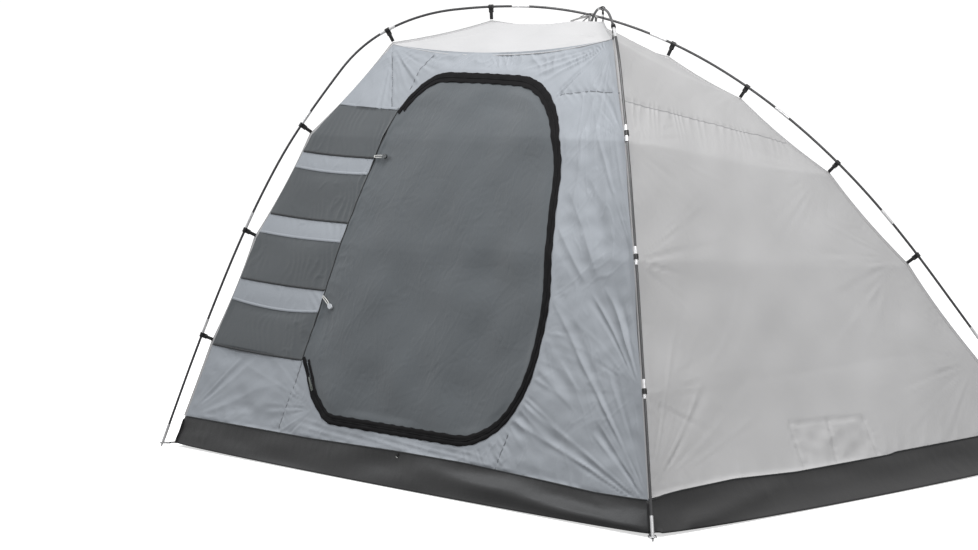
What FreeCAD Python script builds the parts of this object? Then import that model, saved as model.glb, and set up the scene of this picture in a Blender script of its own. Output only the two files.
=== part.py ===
import FreeCAD, Part
import math
import os

# Inner tent of a two-pole dome, hung by hooks from two crossed sectional poles.
# Millimetres. Origin on the ground at the middle of the four feet, +Z up,
# +X along the wide side, the door in the wall on the -Y side.

os.makedirs("parts", exist_ok=True)
V = FreeCAD.Vector

# ---- driving dimensions: poles ----
PLAN = math.atan2(2150, 2800)             # floor rectangle 2800 x 2150 between the feet
ROD_LEN = [508, 464, 464, 480, 536, 545, 550, 555, 549, 563]
# degrees each rod bows, in its first and second half
ROD_BEND = [(0, 1.5), (1, 2.5), (3.5, 6.5), (2.5, 24.5), (20.5, 7.5), (12, 10), (8.5, 7),
            (6, 5.5), (3.5, 0), (0, 0)]
ROD_R = 4.75
ROD_BORE_R = 2.3
CORD_R = 1.3
FERRULE_R = 5.6
FERRULE_BORE_R = 4.83
FERRULE_LEN = 66
END_FERRULE_LEN = 75
PIN_R = 3.0
PIN_OUT = 10                              # pin showing below the end ferrule
CROSS_LIFT = 11                           # pole A passes this far above pole B

# ---- driving dimensions: hanging points ----
HANG = 48                                 # pole axis to ridge seam
# distances along each pole from its front foot; side +1 is pole A, -1 pole B
CLIPS_FRONT = {1: [472, 928, 1404, 1915, 2336], -1: [500, 968, 1436, 1968, 2336]}
CLIPS_REAR = [4750, 4284, 3828, 3384, 3060]
HOOK_R_IN = 5.75                          # goes over a rod or a ferrule
HOOK_R_OUT = 8.6
HOOK_W = 18
FIN_H = 10                                # ridge seam binding
FIN_T = 3

# ---- driving dimensions: fabric ----
CORNER_IN = 55                            # groundsheet corner inside the pole foot
CORNER_Z = 16
TUB_TOP = 122
TUB_DISH = 180                            # width of the rising edge of the groundsheet
FLOOR_Z = 0
CLOTH_T = 0.9
GROUND_T = 1.2
EDGE = 7                                  # cloth edge to seam centre
SIDE_SAG = 34
BACK_SAG = 38
MESH_TOPS = [1340, 1098, 844, 580]
MESH_H = 180
HINGE_LOW = (-631, 404)                   # door hinge seam, x and z on the front wall
HINGE_HIGH = (-425, 1332)
# door outline: corner x, corner z, rounding radius
DOOR_CORNERS = [(-425, 1332, 0), (-363, 1479, 210), (515, 1479, 460), (690, 702, 600),
                (659, 182, 360), (-430, 182, 150), (-535, 262, 120), (-631, 404, 0)]
UPPER_TOGGLE = 1164                       # heights where the door's tie-back loops leave the seam
LOWER_TOGGLE = 638
TAPE_W = 20                               # each half of the zip tape
ZIP_CLEAR = 5                             # wall panel edge to the zip tape
COIL_GAP = 1.5
PARTED_GAP = 9                            # zip halves apart beyond the slider
SLIDER_AT = 132                           # slider from the lower end of the zip
SLIDER_LEN = 26
PARTED_RUN = SLIDER_AT + 80               # zip still open over this run from its lower end


def add(shape, name):
    shape.exportStep("parts/" + name + ".step")


def lerp(a, b, t):
    return a + (b - a) * t


def fuse_all(shapes):
    result = shapes[0]
    if len(shapes) > 1:
        result = shapes[0].multiFuse(shapes[1:])
    return result.removeSplitter()


# ---------------------------------------------------------------- pole line
def pole_segments():
    """Straight and bowed stretches of one pole in (run, height), from the front foot."""
    x = 0.0
    z = 0.0
    heading = 0.0
    run = 0.0
    segments = []
    for length, bends in zip(ROD_LEN, ROD_BEND):
        for bend in bends:
            span = length / 2.0
            swing = math.radians(bend)
            start = (x, z)
            mean = heading - swing / 2.0
            chord = span
            if swing > 1e-6:
                chord = 2.0 * span / swing * math.sin(swing / 2.0)
            x += chord * math.cos(mean)
            z += chord * math.sin(mean)
            segments.append([run, span, swing, start, (x, z), heading])
            run += span
            heading -= swing
    tilt = -math.atan2(z, x)
    reach = math.hypot(x, z)

    def settle(p):
        c = math.cos(tilt)
        s = math.sin(tilt)
        return (p[0] * c - p[1] * s - reach / 2.0, p[0] * s + p[1] * c)

    for seg in segments:
        seg[3] = settle(seg[3])
        seg[4] = settle(seg[4])
        seg[5] += tilt
    return segments, reach, run


SEGMENTS, REACH, POLE_LEN = pole_segments()
CORNER_RUN = REACH / 2.0 - CORNER_IN
CORNER = (CORNER_RUN * math.cos(PLAN), CORNER_RUN * math.sin(PLAN), CORNER_Z)


def on_pole(s):
    """Run, height and heading at distance s along the pole line."""
    chosen = SEGMENTS[0]
    for seg in SEGMENTS:
        if seg[0] <= s:
            chosen = seg
    run, span, swing, start, end, heading = chosen
    part = s - run
    angle = swing * part / span
    chord = part
    if angle > 1e-6:
        chord = 2.0 * part / angle * math.sin(angle / 2.0)
    mean = heading - angle / 2.0
    return start[0] + chord * math.cos(mean), start[1] + chord * math.sin(mean), heading - angle


def pole_frame(s, side, lift):
    """Point, tangent, inward normal and crosswise direction; side +1 is pole A."""
    run, height, heading = on_pole(s)
    ux = side * math.cos(PLAN)
    uy = math.sin(PLAN)
    point = V(run * ux, run * uy, height + lift)
    tangent = V(math.cos(heading) * ux, math.cos(heading) * uy, math.sin(heading))
    inward = V(math.sin(heading) * ux, math.sin(heading) * uy, -math.cos(heading))
    return point, tangent, inward, tangent.cross(inward)


POLES = [("a", 1, CROSS_LIFT), ("b", -1, 0)]


def sweep_profile(s0, s1, side, lift, outer, inner=0.0):
    """Round bar or tube following the pole line from s0 to s1."""
    cuts = [s0]
    for seg in SEGMENTS:
        if s0 + 0.01 < seg[0] < s1 - 0.01:
            cuts.append(seg[0])
    cuts.append(s1)
    pieces = []
    for a, b in zip(cuts[:-1], cuts[1:]):
        point, tangent, inward, across = pole_frame(a, side, lift)
        face = Part.Face(Part.Wire(Part.makeCircle(outer, point, tangent)))
        if inner > 0:
            face = face.cut(Part.Face(Part.Wire(Part.makeCircle(inner, point, tangent)))).Faces[0]
        end_heading = on_pole(b - 1e-6)[2]
        swing = on_pole(a)[2] - end_heading
        if swing < 1e-5:
            pieces.append(face.extrude(tangent * (b - a)))
        else:
            radius = (b - a) / swing
            centre = point + inward * radius
            pieces.append(face.revolve(centre, across, math.degrees(swing)))
    return fuse_all(pieces)


def rods():
    for tag, side, lift in POLES:
        s = 0.0
        for i, length in enumerate(ROD_LEN):
            start = s + 0.3
            end = s + length - 0.3
            if i == 0:
                start = PIN_OUT + 17
            if i == len(ROD_LEN) - 1:
                end = POLE_LEN - PIN_OUT - 17
            rod = sweep_profile(start, end, side, lift, ROD_R, ROD_BORE_R)
            add(rod, "pole_%s_rod_%02d" % (tag, i + 1))
            s += length


def ferrules():
    joints = []
    for tag, side, lift in POLES:
        s = 0.0
        for length in ROD_LEN[:-1]:
            s += length
            half = FERRULE_LEN / 2.0
            joints.append(sweep_profile(s - half, s + half, side, lift, FERRULE_R, FERRULE_BORE_R))
    add(Part.makeCompound(joints), "rod_ferrules")


def foot_line(end, side, lift):
    """Foot point on the pole line and the direction up the pole from it."""
    s = 0.0 if end == "front" else POLE_LEN - 1e-6
    point, tangent, inward, across = pole_frame(s, side, lift)
    if end == "rear":
        tangent = tangent * -1
    return point, tangent


def feet():
    cups = []
    pins = []
    for tag, side, lift in POLES:
        for end in ("front", "rear"):
            point, up = foot_line(end, side, lift)
            base = point + up * PIN_OUT
            cup = Part.makeCylinder(FERRULE_R, END_FERRULE_LEN, base, up)
            cup = cup.cut(Part.makeCylinder(PIN_R + 0.05, 20, base, up))
            deep = point + up * (PIN_OUT + 16)
            cup = cup.cut(Part.makeCylinder(FERRULE_BORE_R, END_FERRULE_LEN, deep, up))
            cups.append(cup)
            extra = (lift - PIN_R) / up.z
            tip = point - up * extra
            pin = Part.makeCylinder(PIN_R, PIN_OUT + 14 + extra, tip, up)
            pins.append(pin.fuse(Part.makeSphere(PIN_R, tip)).removeSplitter())
    add(Part.makeCompound(cups), "end_ferrules")
    add(Part.makeCompound(pins), "foot_pins")


def shock_cords():
    cords = []
    for tag, side, lift in POLES:
        start = PIN_OUT + 15
        cords.append(sweep_profile(start, POLE_LEN - start, side, lift, CORD_R))
    add(Part.makeCompound(cords), "shock_cords")


# ---------------------------------------------------------------- hooks
def box_in(point, axes, low, high):
    """Block given by low and high corners in the axes (t, n, b) at a point."""
    t, n, b = axes
    corners = []
    for i, j in ((0, 0), (1, 0), (1, 1), (0, 1)):
        pick = (low, high)
        corners.append(point + t * pick[i][0] + n * pick[j][1] + b * low[2])
    corners.append(corners[0])
    return Part.Face(Part.makePolygon(corners)).extrude(b * (high[2] - low[2]))


def clips():
    hooks = []
    straps = []
    half = HOOK_W / 2.0
    for tag, side, lift in POLES:
        for s in CLIPS_FRONT[side] + CLIPS_REAR:
            point, t, n, b = pole_frame(s, side, lift)
            axes = (t, n, b)
            base = point - t * half
            ring = Part.makeCylinder(HOOK_R_OUT, HOOK_W, base, t)
            stem = box_in(point, axes, (-half, 6.0, -2.5), (half, 22.0, 2.5))
            hook = ring.fuse(stem)
            hook = hook.cut(Part.makeCylinder(HOOK_R_IN, HOOK_W, base, t))
            hook = hook.cut(box_in(point, axes, (-half - 1, -2.0, 0.0), (half + 1, 3.0, 12.0)))
            hook = hook.cut(box_in(point, axes, (-6.6, 14.0, -4.0), (6.6, 19.0, 4.0)))
            hooks.append(hook)
            strap = box_in(point, axes, (-6, 14.4, -3.9), (6, HANG - 1.0, 3.9))
            strap = strap.cut(box_in(point, axes, (-7, 15.7, -2.7), (7, HANG, 2.7)))
            straps.append(strap)
    add(Part.makeCompound(hooks), "clip_hooks")
    add(Part.makeCompound(straps), "clip_webbing")


# ---------------------------------------------------------------- cloth lines
def hung_point(s, side):
    point, t, n, b = pole_frame(s, side, 0)
    return point + n * HANG


def ridge(end, side):
    """Ridge seam from the groundsheet corner up to the crossing."""
    stations = CLIPS_FRONT[side] if end == "front" else CLIPS_REAR
    sx = -side if end == "front" else side
    sy = -1 if end == "front" else 1
    points = [V(sx * CORNER[0], sy * CORNER[1], CORNER[2])]
    for s in stations:
        points.append(hung_point(s, side))
    peak = on_pole_at_middle()
    points.append(V(0, 0, peak - HANG))
    return points


def on_pole_at_middle():
    low = 0.0
    high = POLE_LEN
    for step in range(60):
        mid = (low + high) / 2.0
        if on_pole(mid)[0] < 0:
            low = mid
        else:
            high = mid
    return on_pole(low)[1]


RIDGES = {
    "front_left": ridge("front", 1),
    "front_right": ridge("front", -1),
    "rear_right": ridge("rear", 1),
    "rear_left": ridge("rear", -1),
}


def along(points, u):
    i = min(int(u), len(points) - 2)
    return points[i] + (points[i + 1] - points[i]) * (u - i)


def u_at_height(points, z):
    return (z - points[0].z) / (points[1].z - points[0].z)


# ---------------------------------------------------------------- sheets
def face_of(a, b, c):
    return Part.Face(Part.makePolygon([a, b, c, a]))


def grid_normals(grid):
    rows = len(grid)
    cols = len(grid[0])
    normals = []
    for i in range(rows):
        line = []
        for j in range(cols):
            up = grid[min(i + 1, rows - 1)][j] - grid[max(i - 1, 0)][j]
            across = grid[i][min(j + 1, cols - 1)] - grid[i][max(j - 1, 0)]
            n = across.cross(up)
            n.normalize()
            line.append(n)
        normals.append(line)
    return normals


def sheet(grid, thick=CLOTH_T, offset=0.0, normals=None):
    """Closed thin solid over a grid of points, its middle moved out by offset."""
    rows = len(grid)
    cols = len(grid[0])
    if normals is None:
        normals = grid_normals(grid)
    outer = []
    inner = []
    for i in range(rows):
        outer.append([grid[i][j] + normals[i][j] * (offset + thick / 2.0) for j in range(cols)])
        inner.append([grid[i][j] + normals[i][j] * (offset - thick / 2.0) for j in range(cols)])
    faces = []
    for i in range(rows - 1):
        for j in range(cols - 1):
            for skin in (outer, inner):
                faces.append(face_of(skin[i][j], skin[i][j + 1], skin[i + 1][j + 1]))
                faces.append(face_of(skin[i][j], skin[i + 1][j + 1], skin[i + 1][j]))
    rim = [(0, j) for j in range(cols)]
    rim += [(i, cols - 1) for i in range(1, rows)]
    rim += [(rows - 1, j) for j in range(cols - 2, -1, -1)]
    rim += [(i, 0) for i in range(rows - 2, 0, -1)]
    for a, b in zip(rim, rim[1:] + rim[:1]):
        oa = outer[a[0]][a[1]]
        ob = outer[b[0]][b[1]]
        ia = inner[a[0]][a[1]]
        ib = inner[b[0]][b[1]]
        faces.append(face_of(oa, ob, ib))
        faces.append(face_of(oa, ib, ia))
    solid = Part.makeSolid(Part.makeShell(faces))
    if solid.Volume < 0:
        solid.reverse()
    return solid


def ruled_wall(left, right, steps, sag, inset=EDGE, cols=8):
    """Cloth stretched between two ridge seams, sagging towards the inside."""
    grid = []
    middle = V(0, 0, 500)
    for ul, ur in steps:
        a = along(left, ul)
        b = along(right, ur)
        width = a.distanceToPoint(b)
        line = []
        for j in range(cols + 1):
            t = j / cols
            t = lerp(inset / width, 1 - inset / width, t)
            p = a + (b - a) * t
            inward = V(-(b - a).y, (b - a).x, 0)
            inward.normalize()
            if inward.dot(middle - p) < 0:
                inward = inward * -1
            depth = sag * 4 * t * (1 - t) * min(1.0, width / 1500.0)
            rise = min(1.0, (p.z - TUB_TOP) / 300.0)
            line.append(p + inward * (depth * rise))
        grid.append(line)
    return grid


def wall_steps(left, right, top=5.97):
    first = (u_at_height(left, TUB_TOP + 2), u_at_height(right, TUB_TOP + 2))
    steps = [first, ((first[0] + 1) / 2.0, (first[1] + 1) / 2.0)]
    for i in range(1, 5):
        steps.append((i, i))
        steps.append((i + 0.5, i + 0.5))
    steps += [(5, 5), (5.5, 5.5), (top, top)]
    return steps


def side_walls():
    r = RIDGES
    pairs = [("side_wall_right", r["front_right"], r["rear_right"], SIDE_SAG),
             ("side_wall_left", r["rear_left"], r["front_left"], SIDE_SAG),
             ("back_wall", r["rear_right"], r["rear_left"], BACK_SAG)]
    for name, left, right, sag in pairs:
        add(sheet(ruled_wall(left, right, wall_steps(left, right), sag)), name)
    roof_steps = [(4.03, 4.03), (4.5, 4.5), (5, 5), (5.5, 5.5), (5.95, 5.95)]
    add(sheet(ruled_wall(r["front_left"], r["front_right"], roof_steps, 0)), "roof_panel")


# ---------------------------------------------------------------- front wall
def ridge_at_height(name, z):
    """Point of a front ridge seam at a height, its last stretch carried on straight."""
    points = RIDGES[name]
    i = 0
    while i < 3 and z > points[i + 1].z:
        i += 1
    f = (z - points[i].z) / (points[i + 1].z - points[i].z)
    return points[i] + (points[i + 1] - points[i]) * f


def left_x(z):
    return ridge_at_height("front_left", z).x


def right_x(z):
    return ridge_at_height("front_right", z).x


def front_point(x, z):
    a = ridge_at_height("front_left", z)
    b = ridge_at_height("front_right", z)
    return V(x, lerp(a.y, b.y, (x - a.x) / (b.x - a.x)), z)


def front_normal(x, z):
    low = max(z - 60, CORNER[2])
    up = front_point(x, z + 60) - front_point(x, low)
    n = (front_point(x + 50, z) - front_point(x - 50, z)).cross(up)
    n.normalize()
    return n


def rounded_outline(corners, count=7):
    """Points of an open outline with each corner rounded to its radius."""
    points = [corners[0][:2]]
    for k in range(1, len(corners) - 1):
        x, z, radius = corners[k]
        back = (corners[k - 1][0] - x, corners[k - 1][1] - z)
        ahead = (corners[k + 1][0] - x, corners[k + 1][1] - z)
        lb = math.hypot(*back)
        la = math.hypot(*ahead)
        back = (back[0] / lb, back[1] / lb)
        ahead = (ahead[0] / la, ahead[1] / la)
        opening = math.acos(back[0] * ahead[0] + back[1] * ahead[1])
        reach = radius / math.tan(opening / 2.0)
        bis = (back[0] + ahead[0], back[1] + ahead[1])
        lbis = math.hypot(*bis)
        far = radius / math.sin(opening / 2.0)
        cx = x + bis[0] / lbis * far
        cz = z + bis[1] / lbis * far
        a0 = math.atan2(z + back[1] * reach - cz, x + back[0] * reach - cx)
        sweep = -(math.pi - opening)
        for i in range(count + 1):
            angle = a0 + sweep * i / count
            points.append((cx + radius * math.cos(angle), cz + radius * math.sin(angle)))
    points.append(corners[-1][:2])
    return points


def subdivide(points, step):
    out = [points[0]]
    for a, b in zip(points[:-1], points[1:]):
        n = max(1, int(round(math.hypot(b[0] - a[0], b[1] - a[1]) / step)))
        for i in range(1, n + 1):
            out.append((lerp(a[0], b[0], i / n), lerp(a[1], b[1], i / n)))
    return out


OUTLINE = subdivide(rounded_outline(DOOR_CORNERS), 60)


def inward_offset(points, distance):
    """Outline moved towards the middle of the door; distance may vary by point."""
    out = []
    last = len(points) - 1
    for k, p in enumerate(points):
        a = points[max(0, k - 1)]
        b = points[min(last, k + 1)]
        dx = b[0] - a[0]
        dz = b[1] - a[1]
        length = math.hypot(dx, dz)
        d = distance(k) if callable(distance) else distance
        out.append((p[0] + dz / length * d, p[1] - dx / length * d))
    return out


def run_to_low_end(k):
    total = 0.0
    for a, b in zip(OUTLINE[k:-1], OUTLINE[k + 1:]):
        total += math.hypot(b[0] - a[0], b[1] - a[1])
    return total


def door_gap(k):
    """How far the door's half of the zip stands from the coil line."""
    if run_to_low_end(k) < PARTED_RUN:
        return PARTED_GAP
    return COIL_GAP


def span_at(points, z):
    """Least and greatest x where a closed outline crosses height z."""
    found = []
    for a, b in zip(points, points[1:] + points[:1]):
        if (a[1] - z) * (b[1] - z) <= 0 and a[1] != b[1]:
            found.append(lerp(a[0], b[0], (z - a[1]) / (b[1] - a[1])))
    return min(found), max(found)


def front_rows(heights, left, right, cols):
    """Grid on the front wall between two x limits given as functions of height."""
    grid = []
    normals = []
    for z in heights:
        a = left(z)
        b = right(z)
        grid.append([front_point(lerp(a, b, j / cols), z) for j in range(cols + 1)])
        normals.append([front_normal(p.x, z) for p in grid[-1]])
    return grid, normals


def heights_between(low, high, step=60, graded=False):
    """Row heights, packed closer near both ends when graded."""
    n = max(1, int(round((high - low) / step)))
    levels = []
    for i in range(n + 1):
        t = i / n
        if graded:
            t = (1 - math.cos(math.pi * t)) / 2.0
        levels.append(lerp(low, high, t))
    for k in (1, 2, 3):
        bend = (RIDGES["front_left"][k].z + RIDGES["front_right"][k].z) / 2.0
        if low + 5 < bend < high - 5:
            levels.append(bend)
    levels.sort()
    return levels


def hinge_x(z):
    t = (z - HINGE_LOW[1]) / (HINGE_HIGH[1] - HINGE_LOW[1])
    return lerp(HINGE_LOW[0], HINGE_HIGH[0], t)


def front_piece(name, low, high, left, right, cols, step=60, graded=False):
    grid, normals = front_rows(heights_between(low, high, step, graded), left, right, cols)
    add(sheet(grid, normals=normals), name)


def front_wall():
    bottom = TUB_TOP + 2
    opening = inward_offset(OUTLINE, -ZIP_CLEAR)
    outline_low = min(p[1] for p in opening)
    outline_high = max(p[1] for p in opening)
    edge_left = lambda z: left_x(z) + EDGE
    edge_right = lambda z: right_x(z) - EDGE
    door_left = lambda z: span_at(opening, z)[0]
    door_right = lambda z: span_at(opening, z)[1]
    seam = lambda z: hinge_x(z) - 4
    front_piece("front_wall_lower", bottom, outline_low - 2, edge_left, edge_right, 12)
    front_piece("front_wall_lower_left", outline_low + 1, MESH_TOPS[3] - MESH_H - 2,
                edge_left, door_left, 5, 22, True)
    front_piece("front_wall_right", outline_low + 1, outline_high - 1,
                door_right, edge_right, 4, 42, True)
    front_piece("front_wall_upper_left", MESH_TOPS[0] + 2, outline_high - 1,
                edge_left, door_left, 4, 14, True)
    front_top(outline_high + 2, edge_left, edge_right)
    for i, high in enumerate(MESH_TOPS):
        front_piece("mesh_band_%d" % (i + 1), high - MESH_H, high - 2, edge_left, seam, 5)
        if i < 3:
            low = MESH_TOPS[i + 1]
            front_piece("light_band_%d" % (i + 1), low, high - MESH_H - 2, edge_left, seam, 5)


def front_top(low, edge_left, edge_right, cols=12):
    """Panel over the door, its upper edge joining the two highest front hanging points."""
    left_top = RIDGES["front_left"][4].z - 3
    right_top = RIDGES["front_right"][4].z - 3
    grid = []
    normals = []
    for i in range(4):
        zl = lerp(low, left_top, i / 3.0)
        zr = lerp(low, right_top, i / 3.0)
        line = []
        for j in range(cols + 1):
            x = lerp(edge_left(zl), edge_right(zr), j / cols)
            line.append(front_point(x, lerp(zl, zr, j / cols)))
        grid.append(line)
        normals.append([front_normal(p.x, p.z) for p in line])
    add(sheet(grid, normals=normals), "front_wall_top")


def strip(a_line, b_line, offset=0.0, thick=1.0):
    """Thin strip on the front wall between two outlines of equal count."""
    grid = []
    normals = []
    for line in (a_line, b_line):
        grid.append([front_point(x, z) for x, z in line])
        normals.append([front_normal(x, z) for x, z in line])
    return sheet(grid, thick, offset, normals)


def door():
    inner = inward_offset(OUTLINE, TAPE_W * 2)
    seam_top = inner[0][1]
    seam_low = inner[-1][1]

    def left(z):
        if seam_low < z < seam_top:
            return hinge_x(z) + 4
        return span_at(inner, z)[0] + 3

    def right(z):
        return span_at(inner, z)[1] - 3

    low = min(p[1] for p in inner) + 1.5
    high = max(p[1] for p in inner) - 1.5
    front_piece("door_panel", low, high, left, right, 12, 40, True)

    coil_line = inward_offset(OUTLINE, TAPE_W - COIL_GAP)
    add(strip(OUTLINE, coil_line), "zip_tape_wall")
    coil_out = inward_offset(OUTLINE, TAPE_W - COIL_GAP - 2.5)
    coil = strip(coil_out[2:-2], inward_offset(OUTLINE, TAPE_W - COIL_GAP - 0.2)[2:-2], 1.9, 2.4)
    add(coil, "zip_coil_wall")

    door_edge = inward_offset(OUTLINE, lambda k: TAPE_W + door_gap(k))
    add(strip(door_edge[1:-1], inner[1:-1]), "zip_tape_door")
    coil_a = inward_offset(OUTLINE, lambda k: TAPE_W + door_gap(k) + 0.2)
    coil_b = inward_offset(OUTLINE, lambda k: TAPE_W + door_gap(k) + 2.5)
    add(strip(coil_a[3:-2], coil_b[3:-2], 1.9, 2.4), "zip_coil_door")


def zip_axes():
    """Point on the coil line at the slider and the directions along, out and across."""
    gx = OUTLINE[-1][0] - OUTLINE[-2][0]
    gz = OUTLINE[-1][1] - OUTLINE[-2][1]
    length = math.hypot(gx, gz)
    gx = gx / length
    gz = gz / length
    x = OUTLINE[-1][0] - gx * SLIDER_AT + gz * TAPE_W
    z = OUTLINE[-1][1] - gz * SLIDER_AT - gx * TAPE_W
    point = front_point(x, z)
    far = front_point(x + gx * 50, z + gz * 50)
    t = far - point
    t.normalize()
    n = front_normal(x, z)
    n = n - t * n.dot(t)
    n.normalize()
    return point, t, n, t.cross(n)


def slider():
    point, t, n, b = zip_axes()
    axes = (t, n, b)
    half = SLIDER_LEN / 2.0
    wall_side = 1 if front_b_points_to_wall(b) else -1

    def block(low, high):
        lo = (low[0], low[1], min(low[2] * wall_side, high[2] * wall_side))
        hi = (high[0], high[1], max(low[2] * wall_side, high[2] * wall_side))
        return box_in(point, axes, lo, hi)

    top = block((-half, 3.6, -5.0), (half, 5.2, 6.0))
    under = block((-half, -2.6, -5.0), (half, -1.0, 6.0))
    post = block((-4, -2.6, -4.4), (8, 5.2, -0.8))
    bridge = block((-9, 5.2, -1.5), (9, 10.4, 1.5))
    hole = block((-6, 5.2, -3), (6, 8.8, 3))
    body = fuse_all([top, under, post, bridge.cut(hole)])
    add(body, "zip_slider")
    # pull: an eye round the bridge bar and a flat tab lying along the zip
    tab = block((-2, 5.9, -3.5), (44, 7.5, 3.5))
    tab = tab.cut(block((-0.5, 5.0, -2.0), (11.5, 8.5, 2.0)))
    add(tab, "zip_pull")


def front_b_points_to_wall(b):
    """True when the crosswise direction leads away from the middle of the door."""
    return b.x < 0


def toggle(tag, x, z, reach, slope):
    """Cord loop from the hinge seam with an oval toggle at its end, lying on the door."""
    point = front_point(x, z)
    n = front_normal(x, z)
    end = front_point(x + reach, z + slope)
    t = end - point
    length = t.Length
    t.normalize()
    b = t.cross(n)
    start = point + n * 6.5
    near = start + b * 3.0
    off = start - b * 3.0
    path = Part.Wire([Part.makeLine(near + t * length, near),
                      Part.Arc(near, start - t * 3.0, off).toShape(),
                      Part.makeLine(off, off + t * length)])
    circle = Part.Wire(Part.makeCircle(1.2, near + t * length, t))
    loop = path.makePipeShell([circle], True, False)
    add(loop, "toggle_loop_" + tag)
    across = start + t * (length + 6) - n * 3.5
    rim = Part.Ellipse(across + t * 13, across + b * 9, across)
    barrel = Part.Face(Part.Wire(rim.toShape())).extrude(n * 7)
    for sign in (-1, 1):
        bore = Part.makeCylinder(1.35, 9.0, start + t * (length - 8) + b * (3.0 * sign), t)
        barrel = barrel.cut(bore)
    add(barrel, "toggle_" + tag)


# ---------------------------------------------------------------- groundsheet and trim
def ring_level(z, shift):
    """Four corners of the tub at height z, moved in by shift."""
    corners = []
    for name in ("front_left", "front_right", "rear_right", "rear_left"):
        p = along(RIDGES[name], u_at_height(RIDGES[name], z))
        sx = 1 if p.x > 0 else -1
        sy = 1 if p.y > 0 else -1
        corners.append(V(p.x - sx * shift, p.y - sy * shift, z))
    return corners


def groundsheet():
    thick = GROUND_T
    low = CORNER[2]
    outer = [ring_level(TUB_TOP, 0), ring_level(low, 0)]
    dish = []
    for p in ring_level(low, TUB_DISH):
        dish.append(V(p.x, p.y, FLOOR_Z))
    outer.append(dish)
    inner = [ring_level(TUB_TOP, thick), ring_level(low + thick, thick)]
    inner.append([V(p.x, p.y, FLOOR_Z + thick) for p in dish])
    faces = []
    for k in range(4):
        m = (k + 1) % 4
        for rings in (outer, inner):
            for a, b in ((rings[0], rings[1]), (rings[1], rings[2])):
                faces.append(face_of(a[k], a[m], b[m]))
                faces.append(face_of(a[k], b[m], b[k]))
        faces.append(face_of(outer[0][k], outer[0][m], inner[0][m]))
        faces.append(face_of(outer[0][k], inner[0][m], inner[0][k]))
    for rings in (outer, inner):
        faces.append(Part.Face(Part.makePolygon(rings[2] + [rings[2][0]])))
    solid = Part.makeSolid(Part.makeShell(faces))
    if solid.Volume < 0:
        solid.reverse()
    add(solid, "groundsheet")


def ridge_bindings():
    fins = []
    for end, side, name in (("front", 1, "front_left"), ("front", -1, "front_right"),
                            ("rear", 1, "rear_right"), ("rear", -1, "rear_left")):
        points = RIDGES[name]
        across = V(-side * math.sin(PLAN), math.cos(PLAN), 0)
        line = [along(points, u_at_height(points, TUB_TOP + 3))]
        line += points[1:6] + [along(points, 5.8)]
        upper = []
        last = len(line) - 1
        for k, p in enumerate(line):
            d = line[min(last, k + 1)] - line[max(0, k - 1)]
            out = across.cross(d)
            out.normalize()
            if out.z < 0:
                out = out * -1
            upper.append(p + out * FIN_H)
        loop = line + upper[::-1] + [line[0]]
        face = Part.Face(Part.makePolygon([p - across * (FIN_T / 2.0) for p in loop]))
        fins.append(face.extrude(across * FIN_T))
    add(Part.makeCompound(fins), "ridge_bindings")


def crossing_tie():
    top = on_pole_at_middle() + CROSS_LIFT + ROD_R + 7.0
    low = on_pole_at_middle() - HANG + 9.0
    band = Part.makeBox(12, 40, top - low, V(-6, -20, low))
    band = band.cut(Part.makeBox(14, 37, top - low - 3, V(-7, -18.5, low + 1.5)))
    add(band, "crossing_tie")


def corner_fittings():
    rings = []
    straps = []
    wire = 1.8
    for tag, side, lift in POLES:
        for end in ("front", "rear"):
            foot, up = foot_line(end, side, lift)
            flat = V(foot.x, foot.y, 0)
            out = V(flat.x, flat.y, 0)
            out.normalize()
            across = V(-out.y, out.x, 0)
            z = V(0, 0, 1)
            height = 14.0
            slope = math.hypot(up.x, up.y) / up.z
            pin_r = flat.Length - (height - lift) * slope
            bar = CORNER_RUN + 22
            far = pin_r + 7.0 + wire
            half = 12.0
            ring = rounded_ring(out, across, z, bar, far, half, height, wire)
            rings.append(ring)
            eye_at = out * bar + z * height
            eye = Part.makeCylinder(4.0, 12, eye_at - across * 6, across)
            start = CORNER_RUN + 1.5
            plate = box_in(V(0, 0, height), (out, across, z),
                           (start, -6, -0.9), (bar - 2, 6, 0.9))
            strap = eye.fuse(plate)
            strap = strap.cut(Part.makeCylinder(2.2, 14, eye_at - across * 7, across))
            straps.append(strap.removeSplitter())
    add(Part.makeCompound(rings), "corner_rings")
    add(Part.makeCompound(straps), "corner_webbing")


def rounded_ring(out, across, z, near, far, half, height, wire):
    """Wire ring with straight sides and round corners lying level."""
    corner = 4.0
    pieces = []
    centre = (near + far) / 2.0
    reach = (far - near) / 2.0
    base = out * centre + z * height
    sides = [(out, across, reach, half), (across, out * -1, half, reach),
             (out * -1, across * -1, reach, half), (across * -1, out, half, reach)]
    for d, nxt, distance, length in sides:
        start = base + d * distance - nxt * (length - corner)
        circle = Part.Face(Part.Wire(Part.makeCircle(wire, start, nxt)))
        pieces.append(circle.extrude(nxt * (2 * (length - corner))))
        bend_at = base + d * (distance - corner) + nxt * (length - corner)
        turn = Part.Face(Part.Wire(Part.makeCircle(wire, bend_at + d * corner, nxt)))
        pieces.append(turn.revolve(bend_at, z, 90))
    return fuse_all(pieces)


def tub_loop():
    """Small cord loop with a tab at the middle of the front tub edge."""
    x = 20.0
    z = TUB_TOP - 12.0
    point = front_point(x, z)
    n = front_normal(x, z)
    along_x = V(1, 0, 0)
    up = n.cross(along_x)
    tab = box_in(point, (along_x, up, n), (-7, -6, 1.6), (7, 6, 4.0))
    start = point + n * 2.8 - along_x * 6 - up * 5
    circle = Part.Face(Part.Wire(Part.makeCircle(1.0, start, up)))
    loop = circle.revolve(point + n * 2.8 - up * 5, n, 180)
    if loop.CenterOfMass.z > point.z:
        loop = circle.revolve(point + n * 2.8 - up * 5, n * -1, 180)
    add(tab.fuse(loop).removeSplitter(), "tub_loop")


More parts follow.
